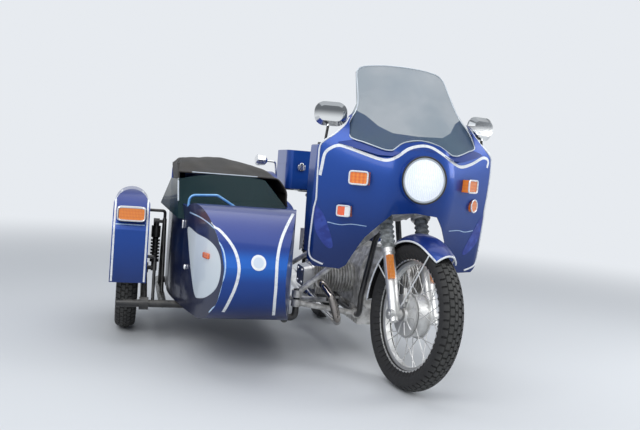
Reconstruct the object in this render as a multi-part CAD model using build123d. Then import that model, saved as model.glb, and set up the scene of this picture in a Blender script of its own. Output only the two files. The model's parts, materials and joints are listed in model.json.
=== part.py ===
from build123d import *

import os
from math import cos, pi, radians, sin, sqrt

# Touring motorcycle with a flat-twin shaft-drive engine, a large fairing and a rigid sidecar.
# Millimetres, +Z up, front towards -Y. The motorcycle's middle plane is x = 0 while it is built,
# with its front axle at y = 0; the sidecar stands on its right, towards -X. At the end everything is
# moved so that the middle of the ground it covers is the origin.

# Ground plan: places from the front axle and from the motorcycle's middle plane
wheelbase = 1440.0
origin_x = -411.5
origin_y = 751.0
sidecar_wheel_x = -1205.0
sidecar_wheel_y = 1078.0

# Wheels: tyre radius and width, rim flange radius and width
front_tyre_r = 325.0
front_rim_r = 256.0
rear_tyre_r = 324.0
rear_rim_r = 243.0
tyre_width = 114.0
rim_width = 60.0
flange_thick = 5.0
bead_depth = 13.0
well_depth = 15.0
rim_wall = 4.0
spoke_r = 1.8
spoke_count = 32
spoke_lean = 24.0
hub_r = 100.0
hub_half = 33.0
axle_r = 9.0
spindle_bore_r = 5.0
run_gap = 0.05
seat_gap = 0.3

# Steering: rake from the vertical, how far the fork stands before its axis, the turn at rest
rake = 27.5
fork_offset = 50.0
steer_at_rest = 9.2
fork_x = 95.0
fork_tube_r = 18.0
slider_r = 26.0
slider_top = 300.0
reflector_wide = 26.0
reflector_long = 110.0
gaiter_top = 462.0
lower_yoke_at = 492.0
upper_yoke_at = 690.0
yoke_thick = 28.0
upper_yoke_thick = 20.0
cup_r = 46.0
stem_r = 14.0
head_tube_r = 27.0
bar_r = 11.0

# Frame tubes
frame_r = 14.0
cradle_x = 104.0
cradle_z = 232.0
rail_x = 112.0
rail_z = 757.0
pivot_y = 985.0
pivot_z = 330.0

# Engine: height and place of the crankshaft, half width over the rocker covers
crank_y = 575.0
crank_z = 395.0
case_half = 105.0
cylinder_end = 252.0
head_end = 322.0
cover_end = 372.0
case_front_y = 428.0
case_back_y = 780.0
gearbox_back_y = 960.0
header_r = 19.0
silencer_r = 42.0

# Fairing
fairing_wall = 5.0
fairing_half = 430.0
fairing_back_y = 335.0
headlamp_z = 916.0
headlamp_r = 96.0
headlamp_front_y = -10.0
screen_wall = 4.0
screen_rake = 41.0
screen_bend_r = 735.0
screen_foot_y = 41.0
screen_foot_z = 1060.0

# Sidecar
body_x = -690.0
body_wall = 5.0
body_floor_z = 226.0
deck_z = 700.0
body_half = 310.0
body_tail_y = 1760.0
rail_r = 20.0
sidecar_rail_z = 203.0
sidecar_inner_x = -470.0
sidecar_outer_x = -1030.0
swing_pivot_y = 700.0
fender_half = 88.0
fender_top_z = 752.0
fender_front_y = 716.0
fender_wall = 4.0

# Luggage box
trunk_half = 290.0
trunk_front_y = 1455.0
trunk_back_y = 1810.0
trunk_floor_z = 800.0
trunk_split_z = 948.0
trunk_top_z = 1036.0
trunk_wall = 4.0
trunk_corner = 45.0

fork_lean = radians(rake)
nodes = {}
steered = []


def side(x):
    """A plane seen from the side: (y, z) at one x."""
    return lambda y, z: (x, y, z)


def front(y):
    """A plane seen from the front: (x, z) at one y."""
    return lambda x, z: (x, y, z)


def outline(place, start, *steps):
    """A closed face from straight steps (a, b) and arcs ((via), (end)), each placed in one plane."""
    first = Vector(place(*start))
    here = first
    edges = []
    for step in steps:
        if isinstance(step[0], tuple):
            end = Vector(place(*step[1]))
            edges.append(ThreePointArc(here, place(*step[0]), end))
        else:
            end = Vector(place(*step))
            edges.append(Line(here, end))
        here = end
    if (here - first).length > 1e-6:
        edges.append(Line(here, first))
    return make_face(edges)


def both(points):
    """The points of a right half, (x, b), run on by their mirror images back to the start."""
    return points + [(-x, b) for x, b in reversed(points) if x]


def push(face, vector):
    """A face extruded by a whole vector."""
    way = Vector(vector)
    return extrude(face, amount=way.length, dir=way)


def rod(start, end, radius):
    """A round bar between two points."""
    way = Vector(end) - Vector(start)
    return Solid.make_cylinder(radius, way.length, Plane(start, z_dir=way))


def tube(points, radius, bend):
    """A round tube along straight runs that are joined by arcs of one radius."""
    path = FilletPolyline(*points, radius=bend) if len(points) > 2 else Line(*points)
    start = Vector(points[0])
    way = Vector(points[1]) - start
    return sweep(Plane(start, z_dir=way) * Circle(radius), path=path)


def turned(points, start, way):
    """A profile of (along, radius) points turned about a line from a point."""
    across = Vector(1, 0, 0) if abs(Vector(way).normalized().X) < 0.9 else Vector(0, 0, 1)
    level = Plane(start, x_dir=way, z_dir=Vector(way).cross(across))
    return level * revolve(outline(lambda along, radius: (along, radius, 0), *points), Axis.X)


def ring(points, at):
    """A profile of (x, radius) points turned about a line across the vehicle."""
    return Pos(*at) * revolve(outline(front(0), *points), Axis.X)


def mirrored(part):
    """The same piece on the motorcycle's other side."""
    return mirror(part, Plane.YZ)


def pair(part):
    """A piece and its mirror image."""
    return [part, mirrored(part)]


def add(name, part, on_fork=False):
    """One node: a solid, or solids that don't touch."""
    nodes[name] = part
    if on_fork:
        steered.append(name)


def fork_point(x, along, ahead=0.0):
    """A point beside the fork: along its legs from the axle, and ahead of them."""
    y = along * sin(fork_lean) - ahead * cos(fork_lean)
    z = front_tyre_r + along * cos(fork_lean) + ahead * sin(fork_lean)
    return (x, y, z)


fork_way = Vector(0, sin(fork_lean), cos(fork_lean))
head_axis = Axis(fork_point(0, 0, -fork_offset), fork_way)

# Wheels: rim and tyre by one profile each, wire spokes laced to a wide drum hub


def rim_profile(rim_r):
    half = rim_width / 2
    inner = half - flange_thick
    seat = rim_r - bead_depth
    well = seat - well_depth
    right = [(half, rim_r), (inner, rim_r), (inner, seat), (inner - 9, seat), (11, well)]
    left = [(-x, r) for x, r in reversed(right)]
    under_left = [(-half, seat - rim_wall), (-inner + 8, seat - rim_wall), (-12, well - rim_wall)]
    under_right = [(-x, r) for x, r in reversed(under_left)]
    return right + left + under_left + under_right


def tyre_profile(tyre_r, rim_r):
    half = tyre_width / 2
    bead = rim_width / 2 - flange_thick - seat_gap
    seat = rim_r - bead_depth + seat_gap
    shoulder = (half - 11, tyre_r - 17)
    bulge_r = rim_r + 0.42 * (tyre_r - rim_r)
    return [(-bead, seat), (bead, seat), (bead, rim_r + 1.5), ((half, bulge_r), shoulder),
            ((0, tyre_r), (-shoulder[0], shoulder[1])), ((-half, bulge_r), (-bead, rim_r + 1.5))]


def laced_hub(rim_r, closed_side):
    """Drum hub with its spokes; closed_side is +1 or -1, the side away from the brake plate."""
    bore = axle_r + run_gap
    lip = hub_half - 6
    drum = hub_r - 8
    end = closed_side * (hub_half + 14)
    step = closed_side * (hub_half + 6)
    face = closed_side * hub_half
    profile = [(-closed_side * hub_half, bore), (-closed_side * hub_half, hub_r),
               (-closed_side * lip, hub_r), (-closed_side * lip, drum), (closed_side * lip, drum),
               (closed_side * lip, hub_r), (face, hub_r), (step, 78), (step, 40), (end, 34), (end, bore)]
    hub = ring(profile, (0, 0, 0))
    rim_side = rim_r - bead_depth - well_depth - rim_wall - 3 * seat_gap
    spokes = []
    for number in range(spoke_count):
        wheel_side = 1 if number % 2 else -1
        lean = spoke_lean if (number // 2) % 2 else -spoke_lean
        turn = radians(360.0 * number / spoke_count)
        tip = turn + radians(lean)
        out = 3.0 if lean > 0 else -3.0
        root_x = wheel_side * (hub_half - 3 + out)
        root_r = hub_r - 5
        start = (root_x, root_r * cos(turn), root_r * sin(turn))
        end_point = (wheel_side * 6.0, rim_side * cos(tip), rim_side * sin(tip))
        spokes.append(rod(start, end_point, spoke_r))
    return hub.fuse(*spokes)


def wheel(name, at, tyre_r, rim_r, closed_side, on_fork=False):
    add(name + "_tyre", ring(tyre_profile(tyre_r, rim_r), at), on_fork)
    add(name + "_rim", ring(rim_profile(rim_r), at), on_fork)
    add(name + "_hub", Pos(*at) * laced_hub(rim_r, closed_side), on_fork)


front_axle = (0, 0, front_tyre_r)
rear_axle = (0, wheelbase, rear_tyre_r)
sidecar_axle = (sidecar_wheel_x, sidecar_wheel_y, rear_tyre_r)
wheel("front", front_axle, front_tyre_r, front_rim_r, 1, True)
wheel("rear", rear_axle, rear_tyre_r, rear_rim_r, 1)
wheel("sidecar", sidecar_axle, rear_tyre_r, rear_rim_r, -1)

# Front brake plate: ribbed disc that closes the drum on the right, with the axle through it

plate_inner = -(hub_half + 2.5)
plate_outer = plate_inner - 9
brake_plate = ring([(plate_inner, 0), (plate_inner, hub_r - 4), (plate_outer, hub_r - 6),
                    (plate_outer - 3, 62), (plate_outer - 3, 30), (plate_outer - 12, 26),
                    (plate_outer - 12, 0)], front_axle)
rib_count = 10
for number in range(rib_count):
    turn = 2 * pi * number / rib_count
    inner_end = (plate_outer - 1, 34 * cos(turn), front_tyre_r + 34 * sin(turn))
    outer_end = (plate_outer - 1, 88 * cos(turn), front_tyre_r + 88 * sin(turn))
    brake_plate += rod(inner_end, outer_end, 4.0)
slider_inner = fork_x - slider_r
front_spindle = rod((-fork_x - 34, 0, front_tyre_r), (fork_x + 34, 0, front_tyre_r), axle_r)
spindle_collar = ring([(hub_half + 14.5, 0), (hub_half + 14.5, 17), (slider_inner - 0.3, 17),
                       (slider_inner - 0.3, 0)], front_axle)
spindle_bore = rod((-2 * fork_x, 0, front_tyre_r), (2 * fork_x, 0, front_tyre_r), spindle_bore_r)
brake_arm_outline = outline(side(plate_outer - 15), (-18, 384), (6, 388), (14, 440), (0, 442))
brake_arm = push(brake_arm_outline, (7, 0, 0))
brake_pivot = rod((plate_outer, -6, 390), (plate_outer - 16, -6, 390), 8)
brake_plate += front_spindle + spindle_collar + brake_arm + brake_pivot
add("front_brake_plate", brake_plate - spindle_bore, True)

# Fork: sliders with axle clamps, stanchions in rubber gaiters, two yokes on the steering stem

slider = rod(fork_point(fork_x, -6), fork_point(fork_x, slider_top), slider_r)
slider += rod(fork_point(fork_x, slider_top - 22), fork_point(fork_x, slider_top), slider_r + 3)
slider += rod((fork_x - slider_r, 0, front_tyre_r), (fork_x + 30, 0, front_tyre_r), 24)
slider += rod(fork_point(fork_x + 6, -34), fork_point(fork_x + 6, 0), 20)
slider -= rod((0, 0, front_tyre_r), (2 * fork_x, 0, front_tyre_r), axle_r + run_gap)
slider -= rod(fork_point(fork_x, 60), fork_point(fork_x, slider_top + 10), fork_tube_r + run_gap)
add("fork_sliders", pair(slider), True)

reflector_level = Plane(fork_point(fork_x, 205, slider_r), x_dir=(1, 0, 0), z_dir=fork_way)
reflector = reflector_level * Pos(reflector_wide / 2, 0) * Box(reflector_wide, 22, reflector_long)
reflector -= rod(fork_point(fork_x, 0), fork_point(fork_x, slider_top), slider_r + seat_gap)
add("fork_reflectors", pair(reflector), True)

stanchion = rod(fork_point(fork_x, 62), fork_point(fork_x, upper_yoke_at + 20), fork_tube_r)
add("fork_tubes", pair(stanchion), True)

gaiter_folds = 7
gaiter_start = slider_top + seat_gap
fold = (gaiter_top - gaiter_start) / gaiter_folds
gaiter_profile = [(gaiter_start, fork_tube_r + 0.3), (gaiter_start, 25)]
for number in range(gaiter_folds):
    gaiter_profile += [(gaiter_start + fold * (number + 0.5), 34), (gaiter_start + fold * (number + 1), 26)]
gaiter_profile += [(gaiter_top, fork_tube_r + 0.3)]
gaiter = turned(gaiter_profile, fork_point(fork_x, 0), fork_way)
add("fork_gaiters", pair(gaiter), True)


def yoke(along, thick, half_depth):
    """A plate across both legs, rounded round each tube and round the stem."""
    level = Plane(fork_point(0, along), x_dir=(1, 0, 0), z_dir=fork_way)
    shape = Pos(fork_x, 0) * Circle(fork_tube_r + 13) + Pos(-fork_x, 0) * Circle(fork_tube_r + 13)
    shape += Pos(0, fork_offset) * Circle(stem_r + 16)
    shape += Rectangle(2 * fork_x, half_depth)
    shape += Pos(0, fork_offset / 2) * Rectangle(96, fork_offset)
    shape -= Pos(fork_x, 0) * Circle(fork_tube_r + run_gap)
    shape -= Pos(-fork_x, 0) * Circle(fork_tube_r + run_gap)
    return extrude(level * shape, amount=thick / 2, both=True)


stem = rod(fork_point(0, lower_yoke_at, -fork_offset), fork_point(0, upper_yoke_at, -fork_offset), stem_r)
yokes = yoke(lower_yoke_at, yoke_thick, 40) + yoke(upper_yoke_at, upper_yoke_thick, 40) + stem

# Domed alloy cups under the lower yoke close the gaiters
cup_low = gaiter_top + seat_gap
cup_profile = [(cup_low, fork_tube_r + run_gap), (cup_low, cup_r - 4), (cup_low + 6, cup_r),
               ((lower_yoke_at + 4, cup_r - 4), (lower_yoke_at + 20, cup_r - 18)),
               (lower_yoke_at + 20, fork_tube_r + run_gap)]
yokes += pair(turned(cup_profile, fork_point(fork_x, 0), fork_way))

# Handlebar: one bent tube in two risers on the upper yoke, with grips, levers and their perches

bar_mid = fork_point(0, upper_yoke_at + 62, -fork_offset - 22)
bar_y = bar_mid[1]
bar_z = bar_mid[2]
half_bar = [(0, bar_y, bar_z), (78, bar_y, bar_z), (142, bar_y + 12, bar_z + 46),
            (236, bar_y + 66, bar_z + 62), (352, bar_y + 148, bar_z + 46)]
whole_bar = [(-x, y, z) for x, y, z in reversed(half_bar[1:])] + half_bar[1:]
for number in (-1, 1):
    riser_foot = fork_point(number * 48, upper_yoke_at + 8, -fork_offset + 2)
    yokes += rod(riser_foot, (number * 48, bar_y, bar_z), 15)
yokes -= rod((-90, bar_y, bar_z), (90, bar_y, bar_z), bar_r + run_gap)
add("fork_yokes", yokes, True)

grip_run = Vector(half_bar[4]) - Vector(half_bar[3])
grip_way = grip_run.normalized()
bar_end = Vector(half_bar[4])
handlebar = tube(whole_bar, bar_r, 34)
grip = rod(bar_end - grip_way * 118, bar_end + grip_way * 3, 16)
perch = rod(bar_end - grip_way * 152, bar_end - grip_way * 122, 19)
lever_root = bar_end - grip_way * 138 + Vector(0, -30, -4)
lever_tip = bar_end + Vector(-6, -52, -10)
lever = rod(lever_root, lever_tip, 5.5) + rod(bar_end - grip_way * 138, lever_root, 8)
controls = grip + perch + lever
add("handlebar", handlebar + controls + mirrored(controls), True)

# Instruments: two round gauges in one housing above the upper yoke

gauge_plane = Plane(fork_point(0, upper_yoke_at + 32, 22), x_dir=(1, 0, 0), z_dir=(0, 0.5, 0.866))
gauges = extrude(gauge_plane * (Pos(-50, 0) * Circle(44) + Pos(50, 0) * Circle(44)
                                + Rectangle(100, 60)), amount=34)
gauges += rod(fork_point(0, upper_yoke_at + 10 + seat_gap, 10), fork_point(0, upper_yoke_at + 42, 10), 10)
for number in (-1, 1):
    gauges -= extrude((gauge_plane * Pos(number * 50, 0, 31)) * Circle(38), amount=5)
add("instruments", gauges, True)

# Front fender: a rolled blade between the legs, hung on two stays and a bridge

fender_r = front_tyre_r + 22
fender_w = slider_inner - 4
fender_profile = [(-fender_w, fender_r - 26), ((0, fender_r + 14), (fender_w, fender_r - 26)),
                  (fender_w - 3, fender_r - 26), ((0, fender_r + 11), (-fender_w + 3, fender_r - 26))]
fender_span = 146.0
fender_lead = 56.0
front_fender = Rot(fender_lead, 0, 0) * revolve(outline(front(0), *fender_profile), Axis.X, -fender_span)
front_fender = Pos(0, 0, front_tyre_r) * front_fender
add("front_fender", front_fender, True)

stay_r = 3.0
stay_ends = []
for across in (-1, 1):
    for angle in (34.0, 118.0):
        turn = radians(angle)
        foot = (across * (slider_inner - stay_r - seat_gap), 8, front_tyre_r + 30)
        reach = fender_r - 26 - seat_gap
        top = (across * (fender_w - 1.5), reach * cos(turn), front_tyre_r + reach * sin(turn))
        stay_ends.append(rod(foot, top, stay_r))
add("fender_stays", stay_ends, True)

# Main frame: head tube, backbone, double cradle, rear rails with their struts and cross tubes

head_low = fork_point(0, lower_yoke_at + yoke_thick / 2 + seat_gap, -fork_offset)
head_high = fork_point(0, upper_yoke_at - upper_yoke_thick / 2 - seat_gap, -fork_offset)
backbone_front = fork_point(0, 560, -fork_offset - 6)
backbone_back = (0, 900, rail_z - 14)
cradle = [(16, backbone_front[1] + 14, 776), (62, 374, 610), (cradle_x, 393, 330),
          (cradle_x, 396, cradle_z), (cradle_x, 880, cradle_z), (rail_x, 1000, 300), (rail_x, 1010, rail_z)]
rear_rail = [(12, 760, rail_z - 3), (rail_x, 900, rail_z), (rail_x, 1600, rail_z)]
rear_strut = [(rail_x, 1006, 420), (rail_x, 1330, rail_z)]
half_frame = tube(cradle, frame_r, 40) + tube(rear_rail, frame_r - 2, 60)
half_frame += rod(rear_strut[0], rear_strut[1], frame_r - 3)
main_frame = rod(head_low, head_high, head_tube_r) + rod(backbone_front, backbone_back, 22)
main_frame += half_frame + mirrored(half_frame)
for cross_y, cross_z in ((900, rail_z), (1330, rail_z), (1590, rail_z)):
    main_frame += rod((-rail_x, cross_y, cross_z), (rail_x, cross_y, cross_z), frame_r - 3)
main_frame += rod((-cradle_x, 800, cradle_z), (cradle_x, 800, cradle_z), frame_r - 3)
main_frame -= rod(fork_point(0, 400, -fork_offset), fork_point(0, 760, -fork_offset), stem_r + run_gap)
fairing_bracket = [(0, 412, 810), (228, 402, 810), (fairing_half - fairing_wall - 3.8, 300, 834)]
half_bracket = tube(fairing_bracket, 9, 40)
main_frame += half_bracket + mirrored(half_bracket)

# Engine: crankcase with front cover, ribbed sump and gearbox in one casting

case_top = crank_z + 130
case_low = crank_z - 140
case_half_outline = [(0, case_low), (case_half - 14, case_low), (case_half, case_low + 16),
                     (case_half, crank_z + 74), (84, case_top), (0, case_top)]
crankcase = push(outline(front(case_front_y), *both(case_half_outline)),
                 (0, case_back_y - case_front_y, 0))
cover_outline = [(0, case_low + 12), (66, case_low + 12), (92, case_low + 40), (98, crank_z),
                 (88, crank_z + 96), (62, crank_z + 168), (44, crank_z + 178), (0, crank_z + 178)]
crankcase += push(outline(front(case_front_y - 20), *both(cover_outline)), (0, 150, 0))
crankcase += rod((0, case_front_y - 34, crank_z - 8), (0, case_front_y, crank_z - 8), 62)
starter_outline = [(0, case_top - 20), (72, case_top - 20), (66, crank_z + 158), (46, crank_z + 172),
                   (0, crank_z + 172)]
crankcase += push(outline(front(case_front_y + 100), *both(starter_outline)), (0, 230, 0))
gear_outline = [(0, crank_z - 110), (62, crank_z - 110), (84, crank_z - 70), (84, crank_z + 40),
                (56, crank_z + 84), (0, crank_z + 84)]
crankcase += push(outline(front(case_back_y), *both(gear_outline)), (0, gearbox_back_y - case_back_y, 0))
sump_low = case_low - 78
sump_outline = [(0, sump_low), (60, sump_low), (80, sump_low + 18), (84, case_low + 1), (0, case_low + 1)]
crankcase += push(outline(front(case_front_y + 46), *both(sump_outline)), (0, 250, 0))
sump_fins = 9
for number in range(sump_fins):
    fin_y = case_front_y + 52 + number * 29
    crankcase += Pos(0, fin_y, sump_low + 36) * Box(172, 6, 84)
for lug_y in (case_front_y + 90, case_back_y - 90):
    for across in (-1, 1):
        lug_z = cradle_z + frame_r + seat_gap
        crankcase += Pos(across * (cradle_x - 7), lug_y, lug_z + 10) * Box(30, 40, 20)
add("crankcase", crankcase)

# Cylinders: two finned barrels across the frame, each with a finned head

carb_x = 272.0
carb_y = crank_y + 150
carb_z = crank_z + 22
barrel_fins = 9
barrel_r = 58.0
fin_r = 78.0
barrel_profile = [(case_half + 0.2, 0), (case_half + 0.2, barrel_r)]
fin_pitch = (cylinder_end - case_half - 14) / barrel_fins
for number in range(barrel_fins):
    fin_x = case_half + 14 + number * fin_pitch
    barrel_profile += [(fin_x, barrel_r), (fin_x + 1.5, fin_r), (fin_x + 4.5, fin_r), (fin_x + 6, barrel_r)]
barrel_profile += [(cylinder_end, barrel_r), (cylinder_end, 0)]
barrel = ring(barrel_profile, (0, crank_y, crank_z))
add("cylinders", pair(barrel))

head_level = Plane((cylinder_end + 0.2, crank_y, crank_z), x_dir=(0, 1, 0), z_dir=(1, 0, 0))
head_core = extrude(head_level * RectangleRounded(132, 124, 20), amount=head_end - cylinder_end - 0.2)
head_fins = 6
head_pitch = (head_end - cylinder_end - 6) / head_fins
for number in range(head_fins):
    fin_place = head_level * Pos(0, 0, 1 + number * head_pitch)
    head_core += extrude(fin_place * RectangleRounded(178, 166, 26), amount=4)
port_front = rod((288, crank_y - 60, crank_z - 22), (288, crank_y - 98, crank_z - 22), 26)
port_back = rod((carb_x, crank_y + 60, carb_z), (carb_x, crank_y + 100, carb_z), 22)
add("cylinder_heads", pair(head_core + port_front + port_back))

cover_level = Plane((head_end + 0.2, crank_y, crank_z), x_dir=(0, 1, 0), z_dir=(1, 0, 0))
rocker_cover = extrude(cover_level * RectangleRounded(176, 122, 34), amount=10)
rocker_cover += extrude(cover_level * Pos(0, 0, 10) * RectangleRounded(168, 114, 32),
                        amount=cover_end - head_end - 10.2, taper=14)
for number in (-1, 0, 1):
    rocker_cover += cover_level * Pos(0, number * 26, 30) * Box(130, 5, 36)
add("rocker_covers", pair(rocker_cover & (cover_level * Pos(0, 0, 25) * Box(200, 200, 50))))

# Carburettors: a round body behind each head, a float bowl below it, a hose to the air box

carburettor = rod((carb_x, crank_y + 100.3, carb_z), (carb_x, carb_y - 28, carb_z), 24)
carburettor += rod((carb_x, carb_y - 30, carb_z), (carb_x, carb_y + 34, carb_z), 31)
carburettor += rod((carb_x, carb_y, carb_z - 62), (carb_x, carb_y, carb_z), 25)
carburettor += rod((carb_x, carb_y, carb_z), (carb_x, carb_y, carb_z + 58), 28)
intake_hose = [(carb_x, carb_y + 30, carb_z), (carb_x, carb_y + 82, carb_z),
               (100, carb_y + 128, carb_z + 8)]
carburettor += tube(intake_hose, 20, 34)
add("carburettors", pair(carburettor))

# Exhaust: a header from each head down and back below the footrests, then a long silencer

header = [(288, crank_y - 98.3, crank_z - 22), (288, crank_y - 136, crank_z - 22), (252, 398, 322),
          (214, 402, 214), (182, 500, 178), (172, 900, 186), (196, 1010, 214)]
silencer_start = Vector(196, 1010, 214)
silencer_end = Vector(214, 1560, 268)
silencer_way = (silencer_end - silencer_start).normalized()
silencer_long = (silencer_end - silencer_start).length
silencer_profile = [(-2, 0), (-2, header_r + 2), (90, silencer_r), (silencer_long - 60, silencer_r),
                    (silencer_long, 26), (silencer_long, 17), (silencer_long - 30, 17),
                    (silencer_long - 30, 0)]
silencer = turned(silencer_profile, silencer_start, silencer_way)
header_tube = tube(header, header_r, 30)
add("exhaust", pair(header_tube + silencer))

# Rear drive: swinging arm from the gearbox to the axle, with the shaft housing on the right

arm_y = pivot_y + 6
drive_x = -92.0
swingarm = rod((-97.7, arm_y, pivot_z), (97.7, arm_y, pivot_z), 22)
shaft_tube = [(-62, arm_y, pivot_z), (-88, arm_y + 96, pivot_z), (drive_x, wheelbase - 40, rear_tyre_r)]
left_arm = [(68, arm_y, pivot_z), (84, arm_y + 96, pivot_z), (84, wheelbase, rear_tyre_r)]
swingarm += tube(shaft_tube, 24, 90) + tube(left_arm, 17, 90)
swingarm += ring([(-52, 0), (-52, hub_r - 8), (-62, hub_r - 6), (-112, 66), (-122, 38), (-122, 0)],
                 rear_axle)
swingarm += rod((66, wheelbase, rear_tyre_r), (106, wheelbase, rear_tyre_r), 26)
swingarm += rod((-60, wheelbase, rear_tyre_r), (118, wheelbase, rear_tyre_r), axle_r)
shock_x = 140.0
foot_y = wheelbase - 34
foot_z = rear_tyre_r + 58
shock_foot = (shock_x, foot_y, foot_z)
for across in (-1, 1):
    swingarm += rod((across * 84, foot_y, rear_tyre_r + 6), (across * 98, foot_y, foot_z), 10)
    swingarm += rod((across * 98, foot_y, foot_z), (across * (shock_x - 16), foot_y, foot_z), 9)
swingarm -= ring([(-51, 0), (-51, hub_r + 4), (48.5, hub_r + 4), (48.5, 0)], rear_axle)
swingarm += rod((-60, wheelbase, rear_tyre_r), (118, wheelbase, rear_tyre_r), axle_r)
swingarm += ring([(48.5, 0), (48.5, 16), (68, 16), (68, 0)], rear_axle)
add("swingarm", swingarm)

# Rear shocks: spring, shrouds and eyes in one turned form on each side

top_y = 1340.0
top_z = rail_z - 18
shock_top = (shock_x, top_y, top_z)


def shock(foot, top, spring_r, coils):
    """A damper with its spring as a ribbed turned body, with an eye at each end."""
    way = Vector(top) - Vector(foot)
    length = way.length
    pitch = (length - 130) / coils
    profile = [(0, 0), (0, 15), (34, 15), (34, spring_r)]
    for number in range(coils):
        at = 40 + number * pitch
        profile += [(at, spring_r), (at + pitch * 0.55, spring_r), (at + pitch * 0.6, spring_r - 9),
                    (at + pitch * 0.95, spring_r - 9)]
    profile += [(length - 84, spring_r), (length - 24, spring_r), (length - 24, 15)]
    profile += [(length, 15), (length, 0)]
    return turned(profile, foot, way)


rear_shock = shock(shock_foot, shock_top, 29, 9)
for _, eye_y, eye_z in (shock_foot, shock_top):
    rear_shock += rod((shock_x - 16 + seat_gap, eye_y, eye_z), (shock_x + 16, eye_y, eye_z), 17)
add("rear_shocks", pair(rear_shock))
for across in (-1, 1):
    lug_x = across * (rail_x - 4)
    main_frame += rod((lug_x, top_y, rail_z), (lug_x, top_y, top_z - 6), 13)
    main_frame += rod((across * 100, top_y, top_z), (across * (shock_x - 16), top_y, top_z), 9)

# Fuel tank and seat: lofted forms that straddle the backbone


def section(y, half, low, high, corner):
    """A rounded upright rectangle across the vehicle."""
    level = Plane((0, y, (low + high) / 2), x_dir=(1, 0, 0), z_dir=(0, -1, 0))
    return level * RectangleRounded(2 * half, high - low, corner)


# columns: y, half width, lowest z, highest z, corner radius
tank_sections = [(468, 88, 792, 912, 34), (540, 122, 782, 962, 52), (650, 128, 780, 960, 52),
                 (806, 92, 782, 880, 30)]
fuel_tank = loft([section(*row) for row in tank_sections])
tunnel_top = 830.0
fuel_tank -= Pos(0, 620, tunnel_top - 45) * Box(62, 500, 90)
for pad_y in (480, 720):
    main_frame += rod((0, pad_y, rail_z + 10), (0, pad_y, tunnel_top - seat_gap), 14)
fuel_tank += rod((0, 560, 955), (0, 560, 978), 32)
add("fuel_tank", fuel_tank)

# columns as above
seat_low = rail_z + frame_r - 2 + seat_gap
seat_sections = [(812, 98, seat_low, 842, 22), (960, 132, seat_low, 850, 26),
                 (1180, 136, seat_low, 858, 26), (1432, 120, seat_low, 868, 26)]
seat = loft([section(*row) for row in seat_sections]) - Pos(0, 860, seat_low) * Box(58, 120, 20)
add("seat", seat)

panel_top = rail_z + 7
side_panel = push(outline(side(rail_x + 16), (835, 560), (1010, 500), (1160, 600), (1215, 700),
                          (1215, panel_top), (850, panel_top)), (10, 0, 0))
panel_tab = outline(side(rail_x + frame_r - 2 + seat_gap), (1080, rail_z - 10), (1150, rail_z - 10),
                    (1150, panel_top), (1080, panel_top))
side_panel += push(panel_tab, (6, 0, 0))
add("side_panels", pair(side_panel))

# Rear fender and lamps

rear_fender_r = rear_tyre_r + 34
rear_fender_w = 72.0
rear_fender_profile = [(-rear_fender_w, rear_fender_r - 40), (-rear_fender_w + 8, rear_fender_r - 6),
                       ((0, rear_fender_r + 4), (rear_fender_w - 8, rear_fender_r - 6)),
                       (rear_fender_w, rear_fender_r - 40), (rear_fender_w - 3, rear_fender_r - 40),
                       (rear_fender_w - 11, rear_fender_r - 9),
                       ((0, rear_fender_r + 1), (-rear_fender_w + 11, rear_fender_r - 9)),
                       (-rear_fender_w + 3, rear_fender_r - 40)]
rear_fender = Rot(48, 0, 0) * revolve(outline(front(0), *rear_fender_profile), Axis.X, -152)
rear_fender = Pos(0, wheelbase, rear_tyre_r) * rear_fender
add("rear_fender", rear_fender)
post_r = 8.0
for post_y in (1330, 1590):
    reach = abs(post_y - wheelbase) - post_r
    post_foot = rear_tyre_r + sqrt((rear_fender_r + 4 + seat_gap) ** 2 - reach ** 2)
    main_frame += rod((0, post_y, rail_z), (0, post_y, post_foot), post_r)

lamp_y = wheelbase + 334
lamp_z = 560.0
plate_wide = 180.0
plate_hole_pitch = 130.0
plate_hole_r = 3.3
tail = Pos(0, lamp_y - 40, lamp_z) * Box(90, 82, 66)
tail += Pos(0, lamp_y + 16, lamp_z) * Box(112, 32, 84)
tail += Pos(0, lamp_y + 10, lamp_z - 60) * Box(40, 20, 60)
tail += Pos(0, lamp_y + 21.5, lamp_z - 110) * Box(plate_wide, 3, 150)
for across in (-1, 1):
    hole_x = across * plate_hole_pitch / 2
    tail -= rod((hole_x, lamp_y, lamp_z - 140), (hole_x, lamp_y + 40, lamp_z - 140), plate_hole_r)
tail -= rod((-80, wheelbase, rear_tyre_r), (80, wheelbase, rear_tyre_r), rear_fender_r + 4 + seat_gap)
signal_profile = [(-39.4, 0), (-39.4, 12), (-24, 30), (24, 36), (36, 26), (40, 10), (40, 0)]
rear_signal = ring(signal_profile, (430, 1600, 958))
add("rear_lamps", [tail] + pair(rear_signal))

# Luggage rack, box and lid

rack_z = trunk_floor_z - 12
rack = rod((-rail_x, 1444, rack_z), (-rail_x, 1780, rack_z), 8)
rack += rod((rail_x, 1444, rack_z), (rail_x, 1780, rack_z), 8)
for cross_y in (1470, 1600, 1760):
    rack += rod((-200, cross_y, rack_z), (200, cross_y, rack_z), 8)
for across in (-1, 1):
    for foot_y in (1452, 1585):
        rack += rod((across * rail_x, foot_y, rack_z), (across * rail_x, foot_y, rail_z + 12.3), 8)
    rack += rod((across * 200, 1470, rack_z), (across * 200, 1760, rack_z), 8)
    rack += tube([(across * 190, 1600, rack_z), (across * 316, 1600, rack_z), (across * 338, 1600, 954),
                  (across * 390.2, 1600, 956)], 6, 16)
add("luggage_rack", rack)

trunk_mid_y = (trunk_front_y + trunk_back_y) / 2
trunk_deep = trunk_back_y - trunk_front_y


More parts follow.
